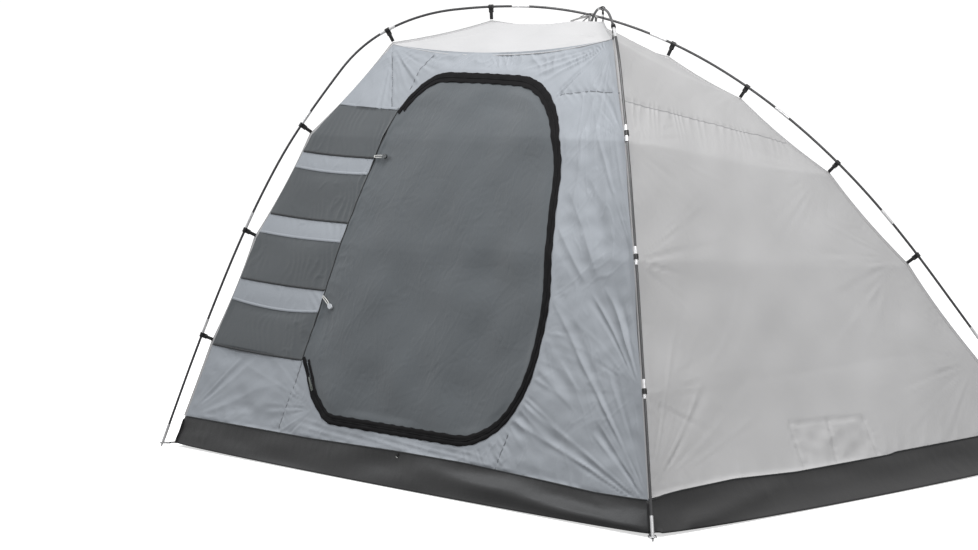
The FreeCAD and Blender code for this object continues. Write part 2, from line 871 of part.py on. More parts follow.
def organiser_pocket():
    """Two-part pocket on the inside of the right-hand wall."""
    left = RIDGES["front_right"]
    right = RIDGES["rear_right"]
    low = (u_at_height(left, TUB_TOP + 6), u_at_height(right, TUB_TOP + 6))
    high = (u_at_height(left, 275), u_at_height(right, 255))
    steps = []
    for i in range(5):
        steps.append((lerp(low[0], high[0], i / 4.0), lerp(low[1], high[1], i / 4.0)))
    grid = ruled_wall(left, right, steps, SIDE_SAG, EDGE, 40)
    part = [row[15:24] for row in grid]
    add(sheet(part, 1.0, -5.0), "organiser_pocket")


rods()
ferrules()
feet()
shock_cords()
clips()
side_walls()
front_wall()
door()
slider()
toggle("upper", hinge_x(UPPER_TOGGLE) + 10, UPPER_TOGGLE, 52, 2)
toggle("lower", hinge_x(LOWER_TOGGLE) + 10, LOWER_TOGGLE, 46, -28)
groundsheet()
ridge_bindings()
crossing_tie()
corner_fittings()
tub_loop()
organiser_pocket()
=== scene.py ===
import math

import bpy
import numpy as np
from mathutils import Matrix, Vector


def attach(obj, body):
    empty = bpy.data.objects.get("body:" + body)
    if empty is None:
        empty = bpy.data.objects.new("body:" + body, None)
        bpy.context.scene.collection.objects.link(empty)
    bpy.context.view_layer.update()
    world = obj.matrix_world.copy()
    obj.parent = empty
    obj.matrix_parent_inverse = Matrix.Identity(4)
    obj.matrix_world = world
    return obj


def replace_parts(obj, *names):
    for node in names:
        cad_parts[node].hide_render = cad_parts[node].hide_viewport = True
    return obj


# Inner tent of a two-pole dome, metres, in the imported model's frame:
# +X along the wide side, the door in the wall on the -Y side, +Z up.

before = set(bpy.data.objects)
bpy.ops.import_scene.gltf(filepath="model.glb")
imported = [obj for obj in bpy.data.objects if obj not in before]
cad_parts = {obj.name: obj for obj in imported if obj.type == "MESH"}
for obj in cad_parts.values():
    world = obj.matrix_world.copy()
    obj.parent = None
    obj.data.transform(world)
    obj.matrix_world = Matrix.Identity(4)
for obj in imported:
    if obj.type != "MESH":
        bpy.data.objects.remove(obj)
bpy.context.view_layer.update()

# Dimensions
PLAN = math.atan2(2.150, 2.800)
ROD_LEN = [0.508, 0.464, 0.464, 0.480, 0.536, 0.545, 0.550, 0.555, 0.549, 0.563]
ROD_BEND = [(0, 1.5), (1, 2.5), (3.5, 6.5), (2.5, 24.5), (20.5, 7.5), (12, 10), (8.5, 7),
            (6, 5.5), (3.5, 0), (0, 0)]
CROSS_LIFT = 0.011
HANG = 0.048
CLIPS_FRONT = {1: [0.472, 0.928, 1.404, 1.915, 2.336], -1: [0.500, 0.968, 1.436, 1.968, 2.336]}
CLIPS_REAR = [4.750, 4.284, 3.828, 3.384, 3.060]
CORNER_IN = 0.055
CORNER_Z = 0.016
TUB_TOP = 0.122
TUB_DISH = 0.180
SIDE_SAG = 0.034
BACK_SAG = 0.038
MESH_TOPS = [1.340, 1.098, 0.844, 0.580]
MESH_H = 0.180
MESH_FEET = [top - MESH_H for top in MESH_TOPS]
BAND_LEAN = 0.012                         # the vents' left ends sit this much higher
HINGE_LOW = (-0.631, 0.404)
HINGE_HIGH = (-0.425, 1.332)
DOOR_CORNERS = [(-0.425, 1.332, 0), (-0.363, 1.479, 0.210), (0.515, 1.479, 0.460),
                (0.690, 0.702, 0.600), (0.659, 0.182, 0.360), (-0.430, 0.182, 0.150),
                (-0.535, 0.262, 0.120), (-0.631, 0.404, 0)]
TAPE_W = 0.020
COIL_GAP = 0.0009                         # from the zip's middle line to each half of the tape
SLIDER_AT = 0.132
SLIDER_RUN_LOW = (-0.535, 0.262)          # lower end of the straight run that the slider has
CELL = 0.008                              # cloth mesh size
TOP_U = 5.985                             # where the panels end, just short of the crossing
SEAM_U = 3.42                             # height of the seam across the side and back walls
MIDDLE = np.array([0.0, 0.0, 0.55])       # the middle of the tent's inside
PER_SIDE = [270, 204]                     # points along the groundsheet's long and short sides
STITCH_W = 0.0050
STITCH_LIFT = 0.0008
WEB_T = 0.0011
HOOK_BAR = 0.0150                         # from the pole's middle line to the hook's lower bar


# Pole line
def pole_line():
    """Distance, run, height and heading every millimetre of one pole."""
    step = 0.001
    turn = []
    for length, bends in zip(ROD_LEN, ROD_BEND):
        for bend, n in zip(bends, (int(length * 500), round(length * 1000) - int(length * 500))):
            turn += [math.radians(bend) / n] * n
    heading = -np.concatenate([[0.0], np.cumsum(turn)])
    middle = (heading[:-1] + heading[1:]) / 2
    x = np.concatenate([[0.0], np.cumsum(np.cos(middle) * step)])
    z = np.concatenate([[0.0], np.cumsum(np.sin(middle) * step)])
    tilt = -math.atan2(z[-1], x[-1])
    run = x * math.cos(tilt) - z * math.sin(tilt)
    height = x * math.sin(tilt) + z * math.cos(tilt)
    return np.arange(len(x)) * step, run - run[-1] / 2, height, heading + tilt


POLE_S, POLE_RUN, POLE_Z, POLE_HEADING = pole_line()


def unit(v):
    """Vectors of length one along the last axis."""
    return v / (np.linalg.norm(v, axis=-1)[..., None] + 1e-12)


def pole_frame(s, side, lift=0.0):
    """Point, tangent, inward normal and crosswise direction; side +1 is pole A."""
    run = float(np.interp(s, POLE_S, POLE_RUN))
    height = float(np.interp(s, POLE_S, POLE_Z))
    h = float(np.interp(s, POLE_S, POLE_HEADING))
    ux = side * math.cos(PLAN)
    uy = math.sin(PLAN)
    point = Vector((run * ux, run * uy, height + lift))
    tangent = Vector((math.cos(h) * ux, math.cos(h) * uy, math.sin(h)))
    inward = Vector((math.sin(h) * ux, math.sin(h) * uy, -math.cos(h)))
    return point, tangent, inward, tangent.cross(inward)


def ridge_nodes(end, side):
    """Groundsheet corner, the hanging points, and the point under the crossing."""
    corner = POLE_RUN[-1] - CORNER_IN
    sx = -side if end == "front" else side
    sy = -1 if end == "front" else 1
    nodes = [(sx * corner * math.cos(PLAN), sy * corner * math.sin(PLAN), CORNER_Z)]
    for s in CLIPS_FRONT[side] if end == "front" else CLIPS_REAR:
        point, _, inward, _ = pole_frame(s, side)
        nodes.append(tuple(point + inward * HANG))
    peak = float(np.interp(0.0, POLE_RUN, POLE_Z)) - HANG
    nodes.append((0.0, 0.0, peak))
    return np.array(nodes)


RIDGES = {
    "front_left": ridge_nodes("front", 1),
    "front_right": ridge_nodes("front", -1),
    "rear_right": ridge_nodes("rear", 1),
    "rear_left": ridge_nodes("rear", -1),
}


def ridge_at(nodes, u, smooth=False):
    """Points on a ridge seam; between hanging points it sags a little inwards."""
    u = np.asarray(u, dtype=float)
    i = np.clip(u.astype(int), 0, len(nodes) - 2)
    f = (u - i)[:, None]
    p = nodes[i] * (1 - f) + nodes[i + 1] * f
    span = np.linalg.norm(nodes[i + 1] - nodes[i], axis=1)[:, None]
    slack = np.where(i[:, None] == 0, 0.006, 0.022)
    p = p + unit(MIDDLE - p) * (4 * f * (1 - f) * span * slack)
    if smooth:
        total = 0
        weight = 0
        for shift in np.linspace(-0.42, 0.42, 9):
            w = math.exp(-(shift / 0.25) ** 2)
            v = np.clip(u + shift, 0, len(nodes) - 1 - 1e-6)
            j = np.clip(v.astype(int), 0, len(nodes) - 2)
            g = (v - j)[:, None]
            total = total + w * (nodes[j] * (1 - g) + nodes[j + 1] * g)
            weight += w
        ends = np.clip(np.minimum(u, len(nodes) - 1 - u) / 0.42, 0, 1)[:, None]
        p = p * (1 - ends) + (total / weight) * ends
    return p


def u_at_height(nodes, z):
    return (z - nodes[0][2]) / (nodes[1][2] - nodes[0][2])


# Cloth relief
def waves(a, b, size, seed, stretch=1.0, count=16):
    """Smooth irregular relief of unit height; stretch lengthens it along a."""
    rng = np.random.default_rng(seed)
    out = np.zeros_like(a)
    for i in range(count):
        angle = rng.uniform(0, 2 * math.pi)
        k = 2 * math.pi / size * rng.uniform(0.6, 1.7)
        out += np.sin(k * (a / stretch * math.cos(angle) + b * math.sin(angle))
                      + rng.uniform(0, 2 * math.pi))
    return out / math.sqrt(count / 2)


def bell(x, width):
    return np.exp(-(x / width) ** 2)


def crease(x):
    """Repeating fold with a sharp crest and a round valley."""
    return 1 - 2 * np.abs(np.sin(x / 2)) ** 0.75


def folds(x, pitch, wobble=0.0):
    return crease(2 * math.pi * x / pitch + wobble)


def creases(a, b, size, seed, stretch=1.0):
    """Scattered fine creases."""
    n = waves(a, b, size, seed, stretch)
    m = waves(a, b, size * 2.6, seed + 5, stretch)
    return bell(n, 0.16) * np.clip(m, 0, 1)


def streaks(a, b, angle, size, seed):
    """Scattered long fine creases running at one angle, in degrees."""
    c = math.cos(math.radians(angle))
    s = math.sin(math.radians(angle))
    return creases(a * c + b * s, b * c - a * s, size, seed, 4.0)


def fan(a, b, centre, aim, spread, count, reach, height, seed):
    """Tension folds running out of one point, deepest at the given reach."""
    da = a - centre[0]
    db = b - centre[1]
    r = np.hypot(da, db) + 1e-6
    angle = np.arctan2(db, da) - math.radians(aim)
    angle = (angle + math.pi) % (2 * math.pi) - math.pi
    flat = 0 * r
    wobble = 2.2 * waves(angle, flat, 0.5, seed + 12) + 0.35 * waves(a, b, 0.6, seed + 11)
    side = bell(angle, math.radians(spread))
    depth = (r / reach) * np.exp(1 - r / reach)
    strength = np.clip(0.5 + 0.6 * waves(angle, flat, 0.22, seed + 13), 0, 1.6)
    strength = strength * np.clip(0.8 + 0.4 * waves(a, b, 0.25, seed + 14), 0, 1.5)
    return height * side * depth * strength * crease(count * angle + wobble)


def pucker(along, away, pitch, reach, height, seed):
    """Short ripples square to a seam, fading away from it."""
    wobble = 1.3 * waves(along, away, pitch * 5, seed, count=6)
    fade = np.exp(-np.abs(away) / reach)
    return height * fade * folds(along, pitch, wobble)


# Meshes
def link(obj):
    bpy.context.scene.collection.objects.link(obj)
    return obj


def grid_normals(p):
    up = np.gradient(p, axis=0)
    across = np.gradient(p, axis=1)
    return unit(np.cross(across, up))


def ride(name, mesh, body, material):
    """Smooth object from a mesh, in one material, that moves with a body."""
    mesh.polygons.foreach_set("use_smooth", [True] * len(mesh.polygons))
    mesh.materials.append(material)
    obj = link(bpy.data.objects.new(name, mesh))
    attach(obj, body)
    return obj


def grid_mesh(name, p, body, material, keep=None):
    """Cloth over a grid of points; keep says which cells belong to this piece."""
    rows, cols = p.shape[:2]
    faces = []
    for i in range(rows - 1):
        for j in range(cols - 1):
            if keep is None or keep[i, j]:
                a = i * cols + j
                faces.append((a, a + 1, a + cols + 1, a + cols))
    used = sorted({k for f in faces for k in f})
    index = {k: i for i, k in enumerate(used)}
    mesh = bpy.data.meshes.new(name)
    mesh.from_pydata([tuple(q) for q in p.reshape(-1, 3)[used]], [],
                     [tuple(index[k] for k in f) for f in faces])
    mesh.validate()
    return ride(name, mesh, body, material)


def ribbon(line, normals, width, material, lift=0.0, crown=0.0, offset=0.0):
    """Flat tape along a line of points, raised along its middle; offset is in widths."""
    wide = np.cross(normals, unit(np.gradient(line, axis=0))) * width
    t = np.linspace(-0.5, 0.5, 5)[None, :, None]
    up = lift + crown * (1 - 4 * t * t)
    points = line[:, None] + wide[:, None] * (t + offset) + normals[:, None] * up
    return grid_mesh("ribbon", points, "tent", material)


def five_across(middle, half):
    """Points across a narrow strip, from one edge to the other."""
    return [middle + half * k for k in (-1, -0.5, 0, 0.5, 1)]


def strip(rows, material):
    return grid_mesh("strip", np.array(rows), "tent", material)


def thicken(obj, thickness):
    modifier = obj.modifiers.new("thick", "SOLIDIFY")
    modifier.thickness = thickness
    modifier.offset = 0


def join(name, objects):
    """One object from several that ride on the same body."""
    bpy.ops.object.select_all(action="DESELECT")
    for o in objects:
        o.select_set(True)
    bpy.context.view_layer.objects.active = objects[0]
    bpy.ops.object.join()
    objects[0].name = name
    return objects[0]


def tube(name, points, radius, body, material, closed=False, res=8):
    """Round cord through points."""
    curve = bpy.data.curves.new(name, "CURVE")
    curve.dimensions = "3D"
    spline = curve.splines.new("NURBS")
    spline.points.add(len(points) - 1)
    for k, p in enumerate(points):
        spline.points[k].co = (*p, 1)
    spline.order_u = 3
    spline.use_endpoint_u = not closed
    spline.use_cyclic_u = closed
    curve.bevel_depth = radius
    curve.bevel_resolution = 3
    curve.resolution_u = res
    curve.use_fill_caps = True
    obj = link(bpy.data.objects.new(name, curve))
    bpy.context.view_layer.update()
    mesh = bpy.data.meshes.new_from_object(obj.evaluated_get(
        bpy.context.evaluated_depsgraph_get()))
    bpy.data.objects.remove(obj)
    mesh.materials.clear()
    return ride(name, mesh, body, material)


# Materials
def new_material(name):
    material = bpy.data.materials.new(name)
    material.use_nodes = True
    return material, material.node_tree, material.node_tree.nodes["Principled BSDF"]


def fill(tree, made, inputs):
    """Set a node's inputs, each to a value or to another node's output."""
    for key, value in inputs.items():
        if isinstance(value, bpy.types.NodeSocket):
            tree.links.new(value, made.inputs[key])
        else:
            made.inputs[key].default_value = value


def node(tree, kind, inputs, **settings):
    made = tree.nodes.new(kind)
    for key, value in settings.items():
        setattr(made, key, value)
    fill(tree, made, inputs)
    return made


def object_coords(tree):
    return node(tree, "ShaderNodeTexCoord", {}).outputs["Object"]


def shade(colour, k):
    return (min(1, colour[0] * k), min(1, colour[1] * k), min(1, colour[2] * k), 1)


def blotch(tree, colour, scale, dark, light, coords):
    """Colour that drifts a little over the piece."""
    noise = node(tree, "ShaderNodeTexNoise", {"Vector": coords, "Scale": scale, "Detail": 5.0})
    ramp = node(tree, "ShaderNodeValToRGB", {"Fac": noise.outputs["Fac"]})
    ramp.color_ramp.elements[0].position = 0.3
    ramp.color_ramp.elements[1].position = 0.7
    ramp.color_ramp.elements[0].color = shade(colour, dark)
    ramp.color_ramp.elements[1].color = shade(colour, light)
    return ramp.outputs["Color"]


THREAD_DEPTH = 0.00012
WAVE_PITCH = 0.314                        # pitch of the wave texture at scale one


def weave(tree, coords, pitch, crumple_scale, crumple):
    """Bump of crossing threads over a fine crumple."""
    scale = WAVE_PITCH / pitch
    threads = {"Vector": coords, "Scale": scale, "Distortion": 0.4, "Detail": 1.0,
               "Detail Scale": 1.0}
    warp = node(tree, "ShaderNodeTexWave", threads, bands_direction="X")
    weft = node(tree, "ShaderNodeTexWave", threads, bands_direction="Z")
    crossing = node(tree, "ShaderNodeMath", {0: warp.outputs["Fac"], 1: weft.outputs["Fac"]},
                    operation="MULTIPLY")
    fine = node(tree, "ShaderNodeBump", {"Height": crossing.outputs[0], "Strength": 0.5,
                                         "Distance": THREAD_DEPTH})
    noise = node(tree, "ShaderNodeTexNoise", {"Vector": coords, "Scale": crumple_scale,
                                              "Detail": 6.0, "Roughness": 0.6})
    return node(tree, "ShaderNodeBump", {"Height": noise.outputs["Fac"], "Strength": 0.6,
                                         "Distance": crumple,
                                         "Normal": fine.outputs["Normal"]}).outputs["Normal"]


def cloth(name, colour, rough=0.62, sheen=0.25, pitch=0.0011, crumple=0.0016, scale=26.0,
          shine=0.35):
    """Plain woven cloth."""
    material, tree, shader = new_material(name)
    coords = object_coords(tree)
    fill(tree, shader, {"Base Color": blotch(tree, colour, 2.3, 0.94, 1.05, coords),
                        "Normal": weave(tree, coords, pitch, scale, crumple),
                        "Roughness": rough, "Sheen Weight": sheen, "Sheen Roughness": 0.4,
                        "Specular IOR Level": shine})
    return material


def hard(name, colour, rough, metal=0.0, grain=0.00008, scale=900.0, coat=0.0, shine=0.5):
    """Moulded, drawn or brushed surface with fine grain and uneven gloss."""
    material, tree, shader = new_material(name)
    coords = object_coords(tree)
    noise = node(tree, "ShaderNodeTexNoise", {"Vector": coords, "Scale": scale, "Detail": 4.0})
    bump = node(tree, "ShaderNodeBump", {"Height": noise.outputs["Fac"], "Strength": 0.4,
                                         "Distance": grain})
    gloss = node(tree, "ShaderNodeMapRange", {"Value": noise.outputs["Fac"],
                                              "To Min": max(0.05, rough - 0.08),
                                              "To Max": rough + 0.1})
    fill(tree, shader, {"Base Color": blotch(tree, colour, 30.0, 0.85, 1.12, coords),
                        "Normal": bump.outputs["Normal"], "Roughness": gloss.outputs[0],
                        "Specular IOR Level": shine, "Metallic": metal, "Coat Weight": coat})
    return material


# The door wall's cloth is the side cloth made bluer and darker: painted cool shade on the door
# wall.
FRONT = cloth("front_cloth_painted_cool_shade", (0.338, 0.362, 0.395), crumple=0.0009, scale=34)
SIDE = cloth("side_cloth", (0.480, 0.480, 0.486), crumple=0.0006, scale=30)
# The roof's cloth is the side cloth made lighter: painted light falling on the roof from above.
ROOF = cloth("roof_cloth", (0.52, 0.52, 0.528), crumple=0.0006, scale=30)
MESH = cloth("vent_mesh", (0.085, 0.094, 0.101), rough=0.75, sheen=0.5, pitch=0.0016)
LEAF = cloth("door_cloth", (0.098, 0.110, 0.120), rough=0.7, sheen=0.5, pitch=0.0014)
TUB = cloth("tub_cloth", (0.036, 0.036, 0.037), rough=0.42, sheen=0.3, crumple=0.0022, scale=18)
TAPE = cloth("zip_tape", (0.0055, 0.0050, 0.0057), rough=0.65, sheen=0.01, pitch=0.0012,
             crumple=0.0008, shine=0.14)
WEB = cloth("black_webbing", (0.012, 0.012, 0.013), rough=0.6, sheen=0.3, pitch=0.0018,
            crumple=0.0004)
TIE = cloth("tie_tape", (0.26, 0.26, 0.26), rough=0.6, pitch=0.0014, crumple=0.0005)
# Seam strips are darker than the cloth beside them: partly the thread, partly painted shade in the
# sewn seams.
THREAD = cloth("seam_thread_and_painted_shade", (0.15, 0.16, 0.175), rough=0.7, pitch=0.0009, crumple=0.0003)
SIDE_THREAD = cloth("side_thread_and_painted_shade", (0.30, 0.30, 0.31), rough=0.7, pitch=0.0009, crumple=0.0003)
HEM = cloth("dark_hem", (0.03, 0.032, 0.034), rough=0.65, pitch=0.0012, crumple=0.0004)
CORD = cloth("pale_cord", (0.62, 0.62, 0.6), rough=0.7, pitch=0.0012, crumple=0.0003)
ROD = hard("glass_fibre", (0.052, 0.052, 0.055), 0.32, grain=0.0002, scale=500, coat=0.3)
ALLOY = hard("ferrule_alloy", (0.78, 0.78, 0.79), 0.34, metal=0.55, grain=0.00006)
STEEL = hard("ring_steel", (0.50, 0.50, 0.51), 0.33, metal=1.0)
PLASTIC = hard("black_plastic", (0.014, 0.014, 0.015), 0.38)
COIL = hard("zip_coil", (0.006, 0.006, 0.0065), 0.6, grain=0.00005, shine=0.14)
SLIDER = hard("slider_enamel", (0.20, 0.215, 0.20), 0.38, metal=0.4, grain=0.00005)
DARK_TOGGLE = hard("dark_toggle", (0.045, 0.05, 0.052), 0.4)
LIGHT_TOGGLE = hard("light_toggle", (0.55, 0.57, 0.6), 0.42)

NODE_MATERIALS = {
    "rod_ferrules": ALLOY, "end_ferrules": ALLOY, "foot_pins": STEEL, "clip_hooks": PLASTIC,
    "corner_rings": STEEL, "zip_slider": SLIDER, "zip_pull": SLIDER,
    "toggle_upper": DARK_TOGGLE, "toggle_lower": LIGHT_TOGGLE, "shock_cords": CORD,
}


for name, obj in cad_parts.items():
    material = ROD if name.startswith("pole_") else NODE_MATERIALS.get(name)
    if material:
        obj.data.materials.clear()
        obj.data.materials.append(material)


# Side and back walls
def ruled(left, right, ul, ur, t, sag):
    """Cloth stretched between two ridge seams, creased at the hanging points near them."""
    la = ridge_at(left, ul)
    lb = ridge_at(left, ul, smooth=True)
    ra = ridge_at(right, ur)
    rb = ridge_at(right, ur, smooth=True)
    w = np.clip(4 * t * (1 - t) * 1.3, 0, 1)[None, :, None] * 0.55
    a = la[:, None] * (1 - w) + lb[:, None] * w
    b = ra[:, None] * (1 - w) + rb[:, None] * w
    p = a + (b - a) * t[None, :, None]
    chord = ra - la
    width = np.linalg.norm(chord, axis=1)
    inward = unit(np.stack([-chord[:, 1], chord[:, 0], 0 * width], 1))
    inward *= np.sign(np.sum(inward * (MIDDLE - (la + ra) / 2), axis=1))[:, None]
    depth = sag * 4 * t[None, :] * (1 - t[None, :]) * np.minimum(1, width / 1.5)[:, None]
    depth = depth * np.clip((p[..., 2] - TUB_TOP) / 0.3, 0, 1)
    return p + inward[:, None] * depth[..., None]


def run_along(p, axis):
    """Distance run so far along one axis of a grid of points."""
    first = np.take(p, [0], axis=axis)
    return np.cumsum(np.linalg.norm(np.diff(p, axis=axis, prepend=first), axis=-1), axis=axis)


def wall_grid(left, right, sag):
    """Points of a whole wall, with the places of its rows on the left ridge seam."""
    k = np.linspace(0, 1, int(2.1 / CELL))
    first = [u_at_height(nodes, TUB_TOP) for nodes in (left, right)]
    ul, ur = [start + (TOP_U - start) * k for start in first]
    return ruled(left, right, ul, ur, np.linspace(0, 1, int(2.3 / CELL)), sag), ul


EDGE_RISE = {                             # height of the sewn edge against TUB_TOP
    "front": ([-1.36, -0.50, 0.00, 0.40, 0.80, 1.06, 1.25, 1.36],
              [0.0, 0.0, 0.009, 0.010, -0.002, -0.011, -0.008, -0.003]),
    "right": ([-1.04, -0.87, -0.60, -0.30, 0.20, 0.80, 1.04],
              [-0.003, 0.008, 0.012, -0.004, -0.006, 0.002, 0.0]),
}


def edge_rise(x, y):
    """The sewn edge of the tub waves up and down along the front and right sides."""
    front = np.interp(x, *EDGE_RISE["front"])
    right = np.interp(y, *EDGE_RISE["right"])
    return np.where(y < -0.98, front, np.where(x > 1.30, right, 0.0))


def wall_relief(along, up, ul, seed):
    """Folds of a side or back wall: slack between hooks, ripples at the edges and seam."""
    width = along[:, -1:]
    edge = np.minimum(along, width - along)
    relief = 0.0040 * waves(along, up, 0.80, seed, 1.8) + 0.0010 * waves(along, up, 0.3, seed + 2)
    for k, angle in enumerate((40, -35, 5)):
        near = 0.25 + np.exp(-edge / 0.12)
        relief += 0.0011 * near * streaks(along, up, angle, 0.08, seed + 3 + k)
    for k in (1, 2, 3, 4):
        row = int(np.argmin(np.abs(ul - k)))
        for x, z, aim, shift in ((0, up[row, 0], -15, 0), (width[row, 0], up[row, -1], 195, 7)):
            relief += fan(along, up, (x, z), aim, 40, 30, 0.13, 0.0017, seed + shift + k)
    relief += fan(along, up, (0, 0), 50, 30, 40, 0.16, 0.0026, seed + 15)
    level = ul[:, None] + 0 * along
    # ripples leave the ridge seams most strongly midway between hooks
    between = np.sin(math.pi * (level % 1.0)) ** 2
    ripple = folds(up + 0.5 * edge, 0.034, 2.5 * waves(along, up, 0.25, seed + 12))
    relief += 0.0012 * ripple * np.exp(-edge / 0.05) * between
    seam = (level - SEAM_U) * 0.42
    below = np.where(seam < 0, 0.060, 0.012)
    wobble = 3.0 * waves(along, up * 0.3, 0.22, seed + 8, count=8)
    relief += 0.0019 * np.exp(-np.abs(seam) / below) * folds(along, 0.042, wobble)
    relief -= 0.0022 * bell(seam, 0.006)
    # gathered foot where the cloth is sewn to the groundsheet
    relief += pucker(along, up, 0.09, 0.04, 0.0018, seed + 9)
    return relief * np.clip(edge / 0.03, 0, 1) * np.clip(up / 0.012, 0, 1)


def side_wall(name, replaced, left, right, sag, seed, pocket=False):
    """One wall; gives back its points and outward normals."""
    p, ul = wall_grid(RIDGES[left], RIDGES[right], sag)
    along = run_along(p, 1)
    up = run_along(p, 0)
    relief = wall_relief(along, up, ul, seed)
    if pocket:
        relief += pocket_relief(p)
    normals = grid_normals(p)
    normals *= np.sign(np.sum(normals * (p - MIDDLE), axis=2))[..., None]
    p = p + normals * relief[..., None]
    if pocket:
        p[..., 2] += np.interp(p[..., 1], *EDGE_RISE["right"]) * np.clip(1 - up / 0.12, 0, 1)
    obj = grid_mesh(name, p, "tent", SIDE)
    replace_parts(obj, replaced)
    return p, normals


POCKET_X = [-0.235, -0.045, 0.140]        # pocket seams, y at their tops
POCKET_FOOT = [-0.235, -0.070, 0.138]


def pocket_top(y):
    """Height of the pocket's leaning upper edge."""
    return 0.272 - 0.06 * (y - POCKET_X[0])


def pocket_relief(p):
    """Stitch lines of the inside pocket drawing the right-hand wall in."""
    y = p[..., 1]
    z = p[..., 2]
    top = pocket_top(y)
    out = np.zeros_like(y)
    k = np.clip((top - z) / (top - TUB_TOP), 0, 1)
    below = 1 / (1 + np.exp(-np.clip((top - z) / 0.004, -30, 30)))
    gather = folds(z, 0.021, 2 * waves(y, z, 0.1, 78))
    for head, foot in zip(POCKET_X, POCKET_FOOT):
        away = y - (head + (foot - head) * k)
        out -= 0.0040 * bell(away, 0.0065) * below
        out += 0.0024 * np.exp(-np.abs(away) / 0.022) * below * gather
    across = ((y > POCKET_X[0]) & (y < POCKET_X[2])).astype(float)
    out -= 0.0032 * across * bell(z - top, 0.006)
    out += 0.0010 * across * below * waves(y, z, 0.07, 77)
    return out


WALLS = {
    "right": side_wall("wall_right", "side_wall_right", "front_right", "rear_right", SIDE_SAG, 21,
                       True),
    "left": side_wall("wall_left", "side_wall_left", "rear_left", "front_left", SIDE_SAG, 22),
    "back": side_wall("wall_back", "back_wall", "rear_right", "rear_left", BACK_SAG, 23),
}


# Roof
def front_top_sag(t):
    """Curve of the edge that the roof and the door wall share."""
    return 0.040 * 4 * t * (1 - t)


def roof():
    """Roof panel; gives back the points of its front edge."""
    left = RIDGES["front_left"]
    right = RIDGES["front_right"]
    u = np.linspace(4.0, TOP_U, int(0.62 / CELL))
    t = np.linspace(0, 1, int(1.2 / CELL))
    p = ruled(left, right, u, u, t, 0.0)
    k = np.clip((5.0 - u) / 1.0, 0, 1)[:, None] ** 1.5
    p[..., 2] -= front_top_sag(t)[None, :] * k
    p[..., 1] -= 0.2 * front_top_sag(t)[None, :] * k
    x = p[..., 0]
    y = p[..., 1]
    relief = 0.0025 * waves(x, y, 0.4, 31) + 0.001 * creases(x, y, 0.14, 32)
    relief += fan(x, y, tuple(left[4][:2]), 35, 40, 12, 0.2, 0.002, 1)
    relief += fan(x, y, tuple(right[4][:2]), 145, 40, 12, 0.2, 0.002, 2)
    hold = np.clip((u - 4.0) / 0.15, 0, 1)[:, None] * np.clip(4 * t * (1 - t) * 4, 0, 1)[None, :]
    p[..., 2] += relief * hold
    # The roof cloth's lighter colour is painted light from above.
    obj = grid_mesh("roof", p, "tent", ROOF)
    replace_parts(obj, "roof_panel")
    return p[0]


ROOF_EDGE = roof()


# Front wall
TOP_LEFT = float(RIDGES["front_left"][4][2])
TOP_RIGHT = float(RIDGES["front_right"][4][2])
TOP_FREE = 1.49                           # the wall's rows are level up to this height


def seam_at(name, z):
    """x and y of a front ridge seam at a height, without its sag."""
    nodes = RIDGES[name][:5]
    return np.interp(z, nodes[:, 2], nodes[:, 0]), np.interp(z, nodes[:, 2], nodes[:, 1])


def front_y(x, z):
    """The door wall is ruled between the two front ridge seams at each height."""
    ax, ay = seam_at("front_left", z)
    bx, by = seam_at("front_right", z)
    return ay + (by - ay) * (x - ax) / (bx - ax)


def edge_x(name, z):
    """x of a sagging front ridge seam at a height."""
    z = np.asarray(z, dtype=float)
    nodes = RIDGES[name]
    u = np.interp(z.ravel(), nodes[:5, 2], np.arange(5))
    return ridge_at(nodes, np.minimum(u, 3.9999))[:, 0].reshape(z.shape)


def left_x(z):
    return edge_x("front_left", z)


def right_x(z):
    return edge_x("front_right", z)


def hinge_x(z):
    slope = (HINGE_HIGH[0] - HINGE_LOW[0]) / (HINGE_HIGH[1] - HINGE_LOW[1])
    return HINGE_LOW[0] + (z - HINGE_LOW[1]) * slope


def rounded_outline(corners, count=9):
    """Outline of the door with an arc at each corner that has a radius."""
    points = [corners[0][:2]]
    for k in range(1, len(corners) - 1):
        here = Vector(corners[k][:2])
        radius = corners[k][2]
        back = (Vector(corners[k - 1][:2]) - here).normalized()
        ahead = (Vector(corners[k + 1][:2]) - here).normalized()
        opening = back.angle(ahead)
        reach = radius / math.tan(opening / 2)
        centre = here + (back + ahead).normalized() * (radius / math.sin(opening / 2))
        start = here + back * reach - centre
        a0 = math.atan2(start.y, start.x)
        for i in range(count + 1):
            angle = a0 - (math.pi - opening) * i / count
            points.append((centre.x + radius * math.cos(angle),
                           centre.y + radius * math.sin(angle)))
    points.append(corners[-1][:2])
    return points


def subdivide(points, step):
    """The same line with points about one step apart."""
    out = [points[0]]
    for a, b in zip(points[:-1], points[1:]):
        n = max(1, int(round(math.dist(a, b) / step)))
        for i in range(1, n + 1):
            out.append((a[0] + (b[0] - a[0]) * i / n, a[1] + (b[1] - a[1]) * i / n))
    return out


OUTLINE = np.array(subdivide(rounded_outline(DOOR_CORNERS), 0.012))


def door_inward():
    """Unit vectors from the outline towards the middle of the door."""
    d = unit(np.gradient(OUTLINE, axis=0))
    return np.stack([d[:, 1], -d[:, 0]], 1)


COIL_LINE = OUTLINE + door_inward() * TAPE_W


def inside(line, x, z):
    """True where (x, z) lies within the closed outline."""
    hit = np.zeros(x.shape, bool)
    for (x0, z0), (x1, z1) in zip(line, np.roll(line, -1, axis=0)):
        if z0 != z1:
            hit ^= ((z0 > z) != (z1 > z)) & (x < (x1 - x0) * (z - z0) / (z1 - z0) + x0)
    return hit


def distance_to(line, x, z):
    """Distance from each point to a polyline."""
    best = np.full(x.shape, 9.0)
    for (x0, z0), (x1, z1) in zip(line[:-1], line[1:]):
        dx = x1 - x0
        dz = z1 - z0
        t = np.clip(((x - x0) * dx + (z - z0) * dz) / (dx * dx + dz * dz), 0, 1)
        best = np.minimum(best, np.hypot(x - x0 - t * dx, z - z0 - t * dz))
    return best


